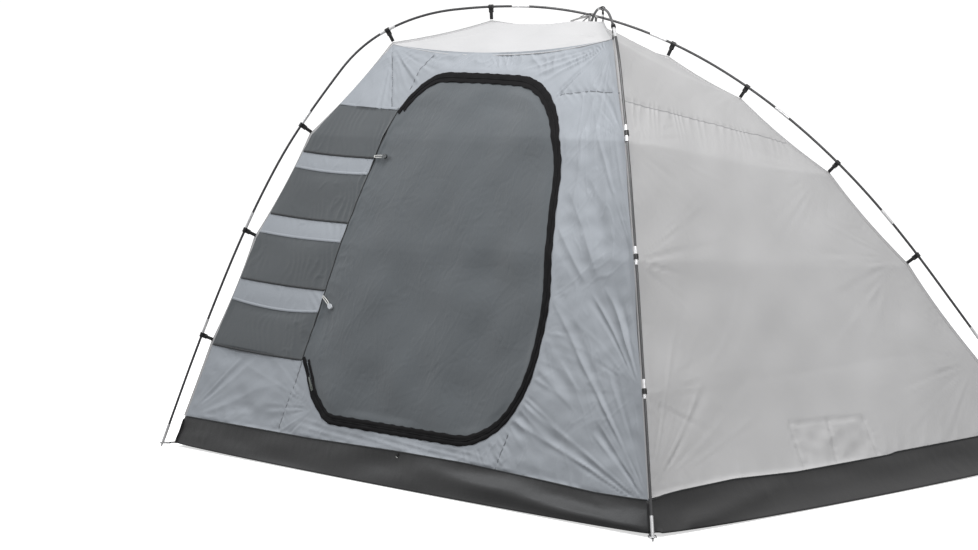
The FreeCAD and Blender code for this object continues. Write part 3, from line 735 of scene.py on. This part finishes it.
SEAMS = [
    [(0.439, 1.407), (0.584, 1.423), (0.732, 1.420)],        # upper right
    [(-0.366, 1.560), (-0.399, 1.490), (-0.412, 1.405)],     # upper left
    [(-0.610, 1.562), (-0.534, 1.447), (-0.470, 1.346)],     # under the upper left corner
    [(-0.631, 0.395), (-0.656, 0.300), (-0.714, 0.125)],     # lower left
    [(0.590, 0.250), (0.555, 0.125)],                        # lower right
]


def base_relief(x, z):
    """Broad slack shared by the wall, the zip and the door; none where the slider runs."""
    slack = 0.0030 * waves(x, z, 0.75, 41) + 0.0012 * waves(x, z, 0.30, 47)
    run = distance_to(np.array([SLIDER_RUN_LOW, HINGE_LOW]), x, z)
    return slack * np.clip((run - 0.03) / 0.10, 0, 1)


def wall_detail(x, z, away):
    """Folds of the wall round the door."""
    out = 0.0006 * waves(x, z, 0.1, 42)
    # tension folds from the hanging points and corners: centre, aim, spread, folds, reach, height
    for k, (cx, cz, *rest) in enumerate((
            (0.583, 1.602, -138, 40, 44, 0.20, 0.0052),
            (0.583, 1.602, -80, 14, 40, 0.20, 0.0030),
            (-0.619, 1.582, -45, 34, 40, 0.16, 0.0042),
            (0.09, 1.455, 90, 55, 18, 0.08, 0.0030),
            (0.870, 1.260, 130, 30, 36, 0.14, 0.0018),
            (1.058, 0.866, 122, 26, 44, 0.22, 0.0032),
            (1.212, 0.444, 128, 24, 46, 0.30, 0.0062),
            (1.212, 0.444, 170, 20, 34, 0.20, 0.0016),
            (1.33, 0.10, 148, 24, 56, 0.32, 0.0048),
            (-0.885, 1.235, -20, 40, 22, 0.10, 0.0022),
            (-1.33, 0.10, 30, 26, 34, 0.26, 0.0030))):
        out += fan(x, z, (cx, cz), *rest, k + 1)
    # short folds thrown off the rounded lower right of the door
    turn = np.arctan2(z - 0.62, x - 0.10)
    throw = bell(turn + 0.55, 0.55) * (away / 0.05) * np.exp(1 - away / 0.05)
    bend = 2.2 * waves(turn, 0 * turn, 0.25, 43)
    uneven = np.clip(0.6 + 0.6 * waves(turn, 0 * turn, 0.12, 49), 0, 1.5)
    out += 0.0019 * throw * uneven * crease(turn * 110 + bend)
    # gathers between the roof seam and the top of the door
    gather = bell(z - 1.54, 0.045) * np.clip(1.5 - np.abs(x) / 0.45, 0, 1)
    lean = x + 0.9 * (z - 1.5) * np.sign(x)
    out += 0.0020 * gather * folds(lean, 0.060, 2.5 * waves(x, z, 0.25, 44))
    out += pucker(x, z - TUB_TOP, 0.085, 0.035, 0.0022, 45)
    # long folds of the strip between the zip and the tub, and of the panel left of it
    below = bell(z - 0.165, 0.035) * np.clip((0.55 - x) / 0.25, 0, 1)
    below = below * np.clip((x + 0.62) / 0.15, 0, 1)
    out += 0.0017 * below * folds(z + 0.09 * x, 0.028, 0.9 * waves(x, 0 * z, 0.7, 56))
    out += fan(x, z, (-0.50, 0.235), 195, 34, 26, 0.15, 0.0034, 58)
    for k, angle in enumerate((-60, 30, 80)):
        out += 0.0012 * streaks(x, z, angle, 0.07, 46 + 20 * k)
    # small puckers where the zip is sewn on
    sewn = np.exp(-np.clip(away - 0.02, 0, 1) / 0.016)
    out += 0.0010 * sewn * folds(x - z, 0.045, 2 * waves(x, z, 0.2, 48))
    for k, seam in enumerate(SEAMS):
        d = distance_to(np.array(seam), x, z)
        out -= 0.0022 * bell(d, 0.005)
        out += 0.0015 * np.exp(-d / 0.020) * folds(x * 0.6 + z, 0.026, k)
    return out


def leaf_detail(x, z):
    """Soft crumple of the door cloth."""
    out = 0.0022 * waves(x, z, 0.5, 51) + 0.0007 * waves(x, z, 0.18, 52, 1.5)
    for k, angle in enumerate((8, -35, 62, -75, 28)):
        out += 0.0006 * streaks(x, z, angle, 0.075, 53 + k)
        out -= 0.0005 * streaks(x, z, angle + 17, 0.095, 153 + k)
    out += 0.0026 * bell(z - 1.37, 0.045) * waves(x, z, 0.22, 59, 2.4)
    hinge = x - hinge_x(z)
    drag = folds(z + 0.8 * x, 0.07, 2.5 * waves(x, z, 0.3, 57))
    out += 0.0012 * np.exp(-hinge / 0.10) * drag
    return out * np.clip(hinge / 0.03, 0, 1)


def front_relief(x, z):
    """Relief of the whole door wall, outwards; it runs flat under the zip tape."""
    away = distance_to(COIL_LINE, x, z)
    door = inside(COIL_LINE, x, z)
    free = np.clip((away - 0.021) / 0.03, 0, 1)
    detail = np.where(door, leaf_detail(x, z), wall_detail(x, z, away))
    out = base_relief(x, z) + detail * free * free * (3 - 2 * free)
    return out * np.clip((top_at(x) - z) / 0.02, 0, 1)


def band_relief(x, z):
    """Relief of the vent bands between the ridge and the hinge seam."""
    out = 0.0022 * waves(x, z, 0.35, 61, 1.6)
    hinge = np.clip(hinge_x(z) - x, 0, 1)
    lean = x + 0.25 * z + 0.012 * waves(x, z, 0.25, 64)
    drape = folds(lean, 0.040, 2.6 * waves(x, z, 0.22, 62))
    patch = np.clip(0.5 + 0.6 * waves(x, z, 0.3, 65), 0, 1)
    out += (0.0020 * np.exp(-hinge / 0.07) + 0.0006 * patch) * drape
    out += 0.0016 * creases(x, z, 0.12, 63)
    return out


def front_normals(x, z):
    """Outward normal of the stretched wall, turning softly at each hanging level."""
    slope = (front_y(x, z + 0.03) - front_y(x, z - 0.03)) / 0.06
    lean = (front_y(x + 0.02, z) - front_y(x - 0.02, z)) / 0.04
    return unit(np.stack([lean, -np.ones_like(z), slope], -1))


def front_place(x, z, relief):
    return np.stack([x, front_y(x, z), z], -1) + front_normals(x, z) * relief[..., None]


def on_front(x, z, lift):
    """Point off the stretched door wall, with the normal there."""
    n = Vector(front_normals(np.array([x]), np.array([z]))[0])
    return Vector((x, float(front_y(x, z)), z)) + n * lift, n


def across(x):
    """Part of the way from the upper left hanging point to the upper right one."""
    a = RIDGES["front_left"][4][0]
    b = RIDGES["front_right"][4][0]
    return np.clip((x - a) / (b - a), 0, 1)


def top_at(x):
    """Height of the line between the two upper hanging points."""
    return TOP_LEFT + (TOP_RIGHT - TOP_LEFT) * across(x)


def front_top_drop(x, z):
    """The upper edge hangs in a curve between its two hanging points."""
    return front_top_sag(across(x)) * np.clip((z - TOP_FREE) / (top_at(x) - TOP_FREE), 0, 1)


def row_height(x, z):
    """Height of a mesh row; rows near the top and rows of the vents lean."""
    k = np.clip((z - TOP_FREE) / (TOP_RIGHT - TOP_FREE), 0, 1)
    left = np.clip((hinge_x(z) - x) / (hinge_x(z) - left_x(z)), 0, 1)
    lean = BAND_LEAN * left * np.clip((z - 0.2) / 0.15, 0, 1) * np.clip((1.48 - z) / 0.1, 0, 1)
    return z + lean - k * (TOP_RIGHT - TOP_LEFT) * (1 - across(x))


HEM_SAGS = list(zip(MESH_TOPS, (0.003, 0.009, 0.006, 0.016))) + [(z, 0.004) for z in MESH_FEET]


def hem_drop(x, z):
    """How far the hems of the vent bands sag between the ridge and the hinge."""
    edge = left_x(z)
    t = np.clip((x - edge) / (hinge_x(z) - edge), 0, 1)
    out = np.zeros_like(z)
    for level, sag in HEM_SAGS:
        out += sag * 4 * t * (1 - t) * bell(z - level, 0.03)
    return out


def levels():
    """Row heights of the door wall, landing on every band edge."""
    marks = [TUB_TOP, MESH_FEET[-1]]
    for top in MESH_TOPS[::-1]:
        if top - MESH_H > marks[-1]:
            marks.append(top - MESH_H)
        marks.append(top)
    marks.append(TOP_RIGHT)
    rows = [marks[0]]
    for a, b in zip(marks[:-1], marks[1:]):
        n = max(1, int(round((b - a) / 0.0055)))
        rows += [a + (b - a) * i / n for i in range(1, n + 1)]
    return np.array(rows)


def front_foot(x, z):
    """The foot of the wall follows the waving edge of the tub."""
    return np.interp(x, *EDGE_RISE["front"]) * np.clip(1 - (z - TUB_TOP) / 0.06, 0, 1)


def front_grid(rows, t, start, stop):
    """x and z of a mesh between two lines across the wall."""
    a = start(rows)[:, None]
    b = stop(rows)[:, None]
    z = row_height(a + (b - a) * t[None, :], rows[:, None])
    a = start(z)
    b = stop(z)
    return a + (b - a) * t[None, :], z


def front_points(rows, t, start, stop, vents):
    """x, z and place of every point between two lines across the wall."""
    x, z = front_grid(rows, t, start, stop)
    relief = front_relief(x, z)
    hold = np.clip((z - TUB_TOP) / 0.01, 0, 1)
    drop = front_top_drop(x, z)
    if vents:
        in_bands = ((rows > MESH_FEET[-1] + 0.0001) & (rows < MESH_TOPS[0] - 0.0001))[:, None]
        relief = np.where(in_bands, band_relief(x, z), relief)
        hold = hold * np.clip((x - x[:, :1]) / 0.03, 0, 1)
        hold = hold * np.clip((x[:, -1:] - x) / 0.01 + 0.2, 0, 1) ** in_bands
        drop = hem_drop(x, z) + drop
    else:
        hold = hold * np.clip((x[:, -1:] - x) / 0.03, 0, 1)
    p = front_place(x, z, relief * hold)
    p[..., 2] += front_foot(x, z) - drop
    return x, z, p


def front_wall():
    """Vent bands, the panels round them, and the wall and the leaf that the zip parts."""
    rows = levels()
    centre = (rows[:-1] + rows[1:]) / 2
    cols = 70
    p = front_points(rows, np.linspace(0, 1, cols), left_x, hinge_x, True)[2]

    def part(name, low, high, material=FRONT):
        within = (centre > low) & (centre < high)
        return grid_mesh(name, p, "tent", material, np.repeat(within[:, None], cols - 1, 1))

    def band(name, replaced, low, high, material=FRONT):
        obj = part(name, low, high, material)
        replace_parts(obj, replaced)

    # The door wall pieces take the front cloth, whose bluer, darker colour is painted cool shade.
    pieces = [part("wall_lower_left", TUB_TOP, MESH_FEET[-1]),
              part("wall_upper_left", MESH_TOPS[0], TOP_RIGHT)]
    for i, top in enumerate(MESH_TOPS):
        band("vent_band_%d" % (i + 1), "mesh_band_%d" % (i + 1), MESH_FEET[i], top, MESH)
        if i < len(MESH_TOPS) - 1:
            band("pale_band_%d" % (i + 1), "light_band_%d" % (i + 1), MESH_TOPS[i + 1],
                 MESH_FEET[i])
    x, z, p_main = front_points(rows, np.linspace(0, 1, 400), hinge_x, right_x, False)
    cx = (x[:-1, :-1] + x[1:, 1:]) / 2
    cz = (z[:-1, :-1] + z[1:, 1:]) / 2
    leaf = inside(COIL_LINE, cx, cz)
    leaf |= (cz > HINGE_LOW[1]) & (cz < HINGE_HIGH[1]) & (cx < -0.2)
    pieces.append(grid_mesh("wall_front_main", p_main, "tent", FRONT, ~leaf))
    wall = join("wall_front", pieces)
    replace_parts(wall, "front_wall_lower", "front_wall_lower_left", "front_wall_right",
                "front_wall_upper_left", "front_wall_top")
    door = grid_mesh("door_leaf", p_main, "door", LEAF, leaf)
    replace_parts(door, "door_panel")


front_wall()


# Seams, hems and zip
def front_strip(line, width, material, lift, crown=0.0):
    """Tape along a line of (x, z) points, lying on the folds of the door wall."""
    x, z = np.asarray(line, dtype=float).T
    p = front_place(x, z, front_relief(x, z) + lift)
    p[:, 2] -= front_top_drop(x, z)
    return ribbon(p, front_normals(x, z), width, material, 0.0, crown)


def zip_half(body, near, far, node_tape, node_coil, trim):
    """One half of the tape with its row of the coil; near and far are from the outline."""
    door = body == "door"
    steps = np.linalg.norm(np.diff(OUTLINE, axis=0), axis=1)
    keep = slice(trim, len(OUTLINE) - trim)
    run = np.concatenate([[0], np.cumsum(steps)])[:, None]
    f = np.linspace(0, 1, 9)[None, :]
    to_coil = 1 - f if door else f
    # the halves part near the lower end, where the slider runs
    open_from = run[-1] - SLIDER_AT - 0.04
    parted = np.clip((run - open_from) / 0.05, 0, 1) * 0.0075 * (to_coil if door else 0)
    wave = 0.0019 * np.sin(run / 0.0105 + 2 * np.sin(run / 0.085)) - 0.0018
    d = near + (far - near) * f + parted + (wave if door else -wave) * (to_coil == 0)
    x, z = (OUTLINE[:, None] + door_inward()[:, None] * d[..., None])[keep].transpose(2, 0, 1)
    ripple = 0.0011 * np.sin(run / 0.0115 + 2.4 * np.sin(run / 0.071) + 1.5 * door)
    ripple = ripple + 0.0009 * np.sin(run / 0.027 + 1.3 * np.sin(run / 0.19))
    crown = 0.0032 * np.sin(math.pi * (0.12 + 0.70 * to_coil)) + 0.0004
    lift = (crown + ripple * (0.35 + 0.65 * np.sin(math.pi * to_coil)))[keep]
    p = front_place(x, z, base_relief(x, z) + lift)
    p[..., 2] -= front_top_drop(x, z)
    tape = grid_mesh("tape_" + body, p, body, TAPE)
    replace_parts(tape, node_tape)
    edge = 0 if door else -1
    line = p[:, edge] + front_normals(x[:, edge], z[:, edge]) * 0.0004
    coil = tube("coil_" + body, [tuple(q) for q in line[::2]], 0.0018, body, COIL, res=3)
    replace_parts(coil, node_coil)


zip_half("tent", 0.0, TAPE_W - COIL_GAP, "zip_tape_wall", "zip_coil_wall", 0)
zip_half("door", TAPE_W + COIL_GAP, 2 * TAPE_W, "zip_tape_door", "zip_coil_door", 2)


def straight(a, b, step=0.012):
    n = max(2, int(math.dist(a, b) / step))
    return [(a[0] + (b[0] - a[0]) * i / n, a[1] + (b[1] - a[1]) * i / n) for i in range(n + 1)]


def bands_trim():
    """Dark bound lower edges of the vents, pale hems over their upper edges, hinge seam."""
    dark = []
    pale = []
    for level in MESH_FEET + MESH_TOPS:
        grid = front_grid(np.array([level]), np.linspace(0.014, 0.997, 60), left_x, hinge_x)
        drop = hem_drop(*grid)[0]
        x, z = [values[0] for values in grid]
        hold = np.clip((x - x[0]) / 0.03, 0, 1) * np.clip((x[-1] - x) / 0.01 + 0.2, 0, 1)
        p = front_place(x, z, band_relief(x, z) * hold + 0.0015)
        p[:, 2] -= drop
        n = front_normals(x, z)
        if level in MESH_FEET:
            dark.append(ribbon(p, n, 0.0085, HEM, 0.0, 0.0025))
        else:
            pale.append(ribbon(p, n, 0.010, FRONT, 0.0002, 0.0012, offset=0.4))
    hinge = straight(*((float(hinge_x(z)), z) for z in (HINGE_LOW[1], HINGE_HIGH[1])))
    dark.append(front_strip(hinge, 0.006, HEM, 0.0008, 0.002))
    join("vent_hems_dark", dark)
    join("vent_hems_pale", pale)


bands_trim()


def seam_stitching():
    parts = []
    for seam in SEAMS:
        line = [q for a, b in zip(seam[:-1], seam[1:]) for q in straight(a, b)[:-1]]
        line.append(seam[-1])
        # Dark strip along each seam: partly thread, partly painted shade in the seam.
        parts.append(front_strip(line, STITCH_W, THREAD, STITCH_LIFT))
    join("front_stitching", parts)


seam_stitching()


def side_stitching():
    first = u_at_height(RIDGES["front_right"], TUB_TOP)
    parts = []
    for p, n in WALLS.values():
        row = int(round((SEAM_U - first) / (TOP_U - first) * (p.shape[0] - 1)))
        normals = n[row, 2:-2:2]
        line = p[row, 2:-2:2] + normals * STITCH_LIFT
        # Dark strip along the seam: partly thread, partly painted shade in the seam.
        parts.append(ribbon(line, normals, STITCH_W, SIDE_THREAD))
    join("side_stitching", parts)


side_stitching()


def ridge_piping():
    """Bound ridge seams, each a rolled edge with a small standing fin."""
    parts = []
    for name, nodes in RIDGES.items():
        p = ridge_at(nodes, np.linspace(u_at_height(nodes, TUB_TOP), 5.93, 260))
        parts.append(tube("piping", [tuple(q) for q in p], 0.0030, "tent", SIDE, res=2))
        side = 1 if name in ("front_left", "rear_right") else -1
        square = np.array([-side * math.sin(PLAN), math.cos(PLAN), 0.0])
        out = np.cross(square[None, :], unit(np.gradient(p, axis=0)))
        out *= np.sign(out[:, 2:3] + 1e-9)
        fin = p[:, None] + out[:, None] * np.linspace(0, 0.008, 5)[None, :, None]
        parts.append(grid_mesh("piping", fin, "tent", SIDE))
    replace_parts(join("ridge_seams", parts), "ridge_bindings")


ridge_piping()
tube("roof_edge", [tuple(q) for q in ROOF_EDGE[1:-1:3]], 0.0022, "tent", ROOF, res=3)


# Groundsheet
def tub_ring(z):
    """Corners of the tub's outline at one height."""
    out = []
    for name in ("front_left", "front_right", "rear_right", "rear_left"):
        nodes = RIDGES[name]
        f = u_at_height(nodes, z)
        out.append(nodes[0] * (1 - f) + nodes[1] * f)
    return np.array(out)


def tub_relief(s, v):
    """Folds of the raised edge; s runs round it and v down it."""
    relief = 0.0016 * waves(s, v, 0.16, 71, 3.5) + 0.0014 * creases(s, v, 0.07, 72, 2.5)
    relief += 0.0026 * bell(v - 0.05, 0.03) * waves(s, v, 0.12, 73, 5.0)
    relief += 0.0010 * np.exp(-v / 0.02) * folds(s, 0.045, 2.5 * waves(s, v, 0.3, 77))
    # long fold running down to the right front corner, and its twin on the next side
    for start, end, high, low in ((1.45, 2.66, 0.035, 0.105), (3.30, 2.76, 0.030, 0.100)):
        part = np.clip((s - start) / (end - start), 0, 1)
        line = high + (low - high) * part
        body = np.clip(4 * part, 0, 1) * np.clip((1 - part) * 12, 0, 1)
        relief += 0.016 * body * np.clip(1 - np.abs(v - line) / 0.045, 0, 1) ** 1.3
    hold = np.clip(v / 0.02, 0.15, 1) * np.clip((0.22 - v) / 0.1, 0, 1)
    return relief * hold * (1 - bell(v - 0.122, 0.022))


def tub():
    """Raised edge all round, coming down to the floor over a dished skirt."""
    heights = [TUB_TOP, 0.112, 0.1, 0.088, 0.076, 0.064, 0.052, 0.040, 0.030, 0.022, CORNER_Z]
    rings = [tub_ring(z) for z in heights]
    for k in np.linspace(0, 1, 12)[1:]:
        ring = rings[len(heights) - 1].copy()
        ring[:, :2] -= np.sign(ring[:, :2]) * TUB_DISH * k
        ring[:, 2] = CORNER_Z * (1 - k) + 0.0012
        rings.append(ring)
    p = np.array([ring_points(ring) for ring in rings])
    n = grid_normals(p)
    n *= np.sign(np.sum(n * (p - np.array([0, 0, 0.3])), axis=2))[..., None]
    s = np.repeat(run_along(p[0], 0)[None, :], p.shape[0], 0)
    v = np.repeat(np.arange(p.shape[0])[:, None] * 0.012, p.shape[1], 1)
    # between its corners the foot rests on the floor and bellies out
    x = p[..., 0]
    y = p[..., 1]
    on_long = np.abs(y) > 1.0
    middle = np.where(on_long, 1 - (x / 1.353) ** 2, 1 - (y / 1.039) ** 2)
    middle = np.clip(middle, 0, 1) ** 0.5
    belly = np.where(on_long, 0.006, 0.045) * middle * bell(v - 0.125, 0.045)
    rise = edge_rise(x, y) * np.clip(1 - v / 0.09, 0, 1)
    p = p + n * tub_relief(s, v)[..., None]
    p[..., 0] += np.where(on_long, 0, np.sign(x)) * belly
    p[..., 1] += np.where(on_long, np.sign(y), 0) * belly
    p[..., 2] += rise - 0.013 * middle * np.clip(v / 0.10, 0, 1)
    p[..., 2] = np.maximum(p[..., 2], 0.001)
    wall = grid_mesh("tub_edge", p, "tent", TUB)
    a, b = PER_SIDE
    front_left, front_right, rear_right, rear_left = p[-1][[0, a, a + b, 2 * a + b]]
    gx = np.linspace(0, 1, 90)[:, None]
    gy = np.linspace(0, 1, 70)[:, None, None]
    front = front_left * (1 - gx) + front_right * gx
    rear = rear_left * (1 - gx) + rear_right * gx
    floor = front[None] * (1 - gy) + rear[None] * gy
    bumps = np.clip(waves(floor[..., 0], floor[..., 1], 0.5, 76), 0, 1)
    floor[..., 2] = 0.0012 * (1 + bumps)
    sheet = join("groundsheet_cloth", [wall, grid_mesh("tub_floor", floor, "tent", TUB)])
    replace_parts(sheet, "groundsheet")
    rim = [tuple(q) for q in p[0][::3]]
    tube("tub_binding", rim[:-1], 0.0026, "tent", HEM, closed=True, res=2)


def ring_points(ring):
    """Points a centimetre apart round the four sides of an outline."""
    out = []
    for k in range(4):
        n = PER_SIDE[k % 2]
        for i in range(n):
            out.append(ring[k] + (ring[(k + 1) % 4] - ring[k]) * i / n)
    out.append(ring[0])
    return np.array(out)


tub()


# Hanging straps and corners
def straps():
    """Folded webbing from each hook to the ridge seam."""
    gap = 0.0033
    parts = []
    for side, lift in ((1, CROSS_LIFT), (-1, 0.0)):
        for s in CLIPS_FRONT[side] + CLIPS_REAR:
            point, t, n, b = pole_frame(s, side, lift)
            half = t * 0.0062
            for flank in (-1, 1):
                parts.append(strip([five_across(
                    point + n * (HOOK_BAR + f * (HANG - 0.0145)) + b * gap * flank * (1 - 0.45 * f),
                    half) for f in np.linspace(0, 1, 9)], WEB))
            parts.append(strip([five_across(
                point + n * (HOOK_BAR - 0.0006 * math.sin(angle)) + b * gap * math.cos(angle),
                half) for angle in np.linspace(0, math.pi, 7)], WEB))
    webbing = join("hook_straps", parts)
    thicken(webbing, WEB_T)
    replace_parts(webbing, "clip_webbing")


straps()


def corner_straps():
    """Webbing round each corner ring, and the tab sewn up the corner seam above it."""
    corner = POLE_RUN[-1] - CORNER_IN
    bar = corner + 0.022
    path = [(corner - 0.045 + f * 0.062, 0.0135 + 0.004 * (1 - f) ** 2, 0.0070)
            for f in np.linspace(0, 1, 7)]
    path += [(bar + 0.0031 * math.cos(angle), 0.014 + 0.0031 * math.sin(angle), 0.0066)
             for angle in -math.pi / 2 + math.pi * 1.15 * np.linspace(0, 1, 9)[1:]]
    path += [(bar - 0.002 - f * 0.03, 0.0172 + 0.001 * f, 0.0068)
             for f in np.linspace(0, 1, 5)[1:]]
    parts = []
    for sx in (-1, 1):
        for sy in (-1, 1):
            out = Vector((sx * math.cos(PLAN), sy * math.sin(PLAN), 0))
            square = Vector((-out.y, out.x, 0))
            parts.append(strip([five_across(out * run + Vector((0, 0, z)), square * half)
                                for run, z, half in path], WEB))
            nodes = RIDGES[("front_" if sy < 0 else "rear_") + ("left" if sx < 0 else "right")]
            foot = Vector(nodes[0])
            head = foot.lerp(Vector(nodes[1]), 0.235)
            tab = []
            for f in np.linspace(0, 1, 10):
                middle = foot.lerp(head, f) + out * (0.0035 + 0.0008 * math.sin(f * 9))
                tab.append([middle + square * (0.009 * k) - out * (0.003 * abs(k))
                            for k in (-1, -0.5, 0, 0.5, 1)])
            parts.append(strip(tab, WEB))
    webbing = join("corner_straps", parts)
    thicken(webbing, WEB_T)
    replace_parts(webbing, "corner_webbing")


corner_straps()


def crossing():
    """Tape sewn to the roof point and tied in a bow over the crossed poles."""
    peak = float(np.interp(0.0, POLE_RUN, POLE_Z))
    top = peak + CROSS_LIFT + 0.0052
    low = peak - HANG
    parts = [strip([five_across(np.array([
        0.0035 * math.sin(2 * angle), 0.0165 * math.cos(angle),
        (top + low) / 2 + (top - low) / 2 * math.sin(angle)]), np.array([0.006, 0, 0]))
        for angle in np.linspace(0, 2 * math.pi, 17)], TIE)]
    knot = Vector((0.0, -0.004, top + 0.002))
    for reach, droop in ((-0.055, 0.030), (0.045, 0.028)):
        rows = []
        for angle in np.linspace(0, 2 * math.pi, 15):
            out = 1 - math.cos(angle)
            middle = np.array([reach * 0.5 * out,
                               knot.y - 0.0072 * math.sin(angle) - 0.006 * out,
                               knot.z + 0.004 * math.sin(angle) - droop * out * 0.32 + 0.00075])
            rows.append(five_across(middle, np.array([0, 0.005, 0.00075])))
        parts.append(strip(rows, TIE))
    for ux, uy, reach, droop in ((-0.65, -0.76, 0.082, 0.022), (-0.85, -0.50, 0.050, 0.034)):
        parts.append(strip([five_across(np.array([
            ux * reach * f, knot.y + uy * reach * f, knot.z - 0.006 - droop * f ** 1.2]),
            np.array([0, 0.001, 0.0038])) for f in np.linspace(0, 1, 12)], TIE))
    tie = join("crossing_tie_tape", parts)
    thicken(tie, 0.0009)
    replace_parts(tie, "crossing_tie")


crossing()


# Small cords
def toggle_loops():
    """Cord loops from the hinge seam to the toggle plates."""
    for tag, z, reach, slope, body in (("upper", 1.164, 0.052, 0.002, "toggle_a"),
                                       ("lower", 0.638, 0.046, -0.028, "toggle_b")):
        x = float(hinge_x(z)) + 0.010
        start, n = on_front(x, z, 0.0065)
        end = on_front(x + reach, z + slope, 0.0)[0] + n * 0.0065
        t = (end - start).normalized()
        b = t.cross(n)
        length = (end - start).length

        def cord(side, f):
            bulge = math.sin(math.pi * f)
            return (start + t * (length * f - 0.004) + b * side * (0.0030 + 0.0012 * bulge)
                    - n * 0.002 * bulge)

        points = [cord(1, f) for f in np.linspace(1, 0, 9)]
        points += [start - t * 0.003 * math.sin(angle) + b * 0.0030 * math.cos(angle)
                   for angle in np.linspace(0, math.pi, 6)[1:-1]]
        points += [cord(-1, f) for f in np.linspace(0, 1, 9)]
        loop = tube("loop_" + tag, [tuple(p) for p in points], 0.0020, body, CORD, res=4)
        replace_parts(loop, "toggle_loop_" + tag)


toggle_loops()


def front_loop():
    """Cord loop and tab on the middle of the tub's front edge."""
    at, n = on_front(0.020, TUB_TOP - 0.001, 0.004)
    turns = math.pi * (1.25 * np.linspace(0, 1, 13) + 0.37)
    points = [at + Vector((0.006 * math.cos(angle), 0, 0.007 * math.sin(angle) - 0.006))
              for angle in turns]
    loop = tube("edge_loop", [tuple(p) for p in points], 0.0011, "tent", CORD, res=4)
    tab = strip([five_across(at + Vector((0, 0, 0.006 - 0.014 * f))
                             + n * (0.0006 + 0.0012 * math.sin(math.pi * f)),
                             Vector((0.006, 0, 0))) for f in np.linspace(0, 1, 6)], WEB)
    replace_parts(join("front_edge_loop", [loop, tab]), "tub_loop")


front_loop()


def pocket_cloth():
    """The pocket itself, hanging inside the right-hand wall."""
    p, n = WALLS["right"]
    y = p[..., 1]
    z = p[..., 2]
    keep = (y > -0.237) & (y < 0.142) & (z < pocket_top(y)) & (z > TUB_TOP + 0.004)
    sag = 0.006 + 0.008 * np.clip((z - 0.13) / 0.12, 0, 1) + 0.002 * waves(y, z, 0.08, 91)
    obj = grid_mesh("pocket", p - n * sag[..., None], "tent", SIDE, keep[:-1, :-1])
    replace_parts(obj, "organiser_pocket")


pocket_cloth()


# Stage, light and camera
def stage():
    """White floor running up into a far white surround."""
    rings = [(0.01, -0.0005), (12.0, -0.0005), (50.0, -0.0005), (60.0, 1.5), (64.0, 8.0)]
    sides = 48
    points = []
    for radius, z in rings:
        for k in range(sides):
            angle = 2 * math.pi * k / sides
            points.append((radius * math.cos(angle), radius * math.sin(angle), z))
    faces = [tuple(range(sides))]
    for r in range(len(rings) - 1):
        for k in range(sides):
            m = (k + 1) % sides
            faces.append((r * sides + k, r * sides + m, (r + 1) * sides + m, (r + 1) * sides + k))
    mesh = bpy.data.meshes.new("floor")
    mesh.from_pydata(points, [], faces)
    material, tree, shader = new_material("floor_white")
    fill(tree, shader, {"Base Color": (0.92, 0.92, 0.92, 1), "Emission Color": (1, 1, 1, 1),
                        "Emission Strength": 0.62, "Roughness": 0.9, "Specular IOR Level": 0.1})
    mesh.materials.append(material)
    floor = link(bpy.data.objects.new("floor", mesh))
    floor.visible_diffuse = False
    floor.visible_glossy = False

    world = bpy.data.worlds.new("studio")
    bpy.context.scene.world = world
    world.use_nodes = True
    tree = world.node_tree
    back = tree.nodes["Background"]
    # brighter overhead than from the ground
    coords = node(tree, "ShaderNodeTexCoord", {}).outputs["Generated"]
    height = node(tree, "ShaderNodeSeparateXYZ", {0: coords}).outputs["Z"]
    ramp = node(tree, "ShaderNodeMapRange", {"Value": height, "From Min": -0.6, "From Max": 0.8,
                                             "To Min": 0.14, "To Max": 0.64})
    tree.links.new(ramp.outputs[0], back.inputs["Color"])
    back.inputs["Strength"].default_value = 1.0

    for name, place, aim, size, power, colour in (
            ("key", (1.5, -1.5, 5.5), (0, 0, 0.8), 3.0, 185, (1, 0.99, 0.98)),
            ("front_fill", (-4.5, -5.0, 4.5), (0, -0.8, 0.9), 2.0, 130, (0.92, 0.96, 1.0)),
            ("right_fill", (5.5, -2.0, 4.5), (1.0, 0, 0.9), 2.5, 90, (1, 1, 1))):
        light = bpy.data.lights.new(name, "AREA")
        light.size = size
        light.energy = power
        light.color = colour
        lamp = link(bpy.data.objects.new(name, light))
        lamp.location = place
        lamp.rotation_euler = (Vector(aim) - Vector(place)).to_track_quat("-Z", "Y").to_euler()


stage()


def camera():
    """The photo's camera, as fitted to it: place, heading, and focal length in pixels."""
    place = Vector((7.7885, -7.2762, 1.7843))
    yaw, pitch, roll = -0.8580, -0.1018, -0.0187
    focal, photo_width = 2794.9, 978
    level = math.cos(pitch)
    forward = Vector((level * math.sin(yaw), level * math.cos(yaw), math.sin(pitch)))
    right = Vector((math.cos(yaw), -math.sin(yaw), 0))
    up = right.cross(forward)
    side = right * math.cos(roll) + up * math.sin(roll)
    top = up * math.cos(roll) - right * math.sin(roll)
    data = bpy.data.cameras.new("camera")
    data.sensor_width = 36.0
    data.lens = focal / photo_width * data.sensor_width
    data.clip_end = 300
    cam = link(bpy.data.objects.new("camera", data))
    turn = Matrix((side, top, -forward)).transposed().to_4x4()
    cam.matrix_world = Matrix.Translation(place) @ turn
    bpy.context.scene.camera = cam


camera()
bpy.context.scene.view_settings.view_transform = "Standard"
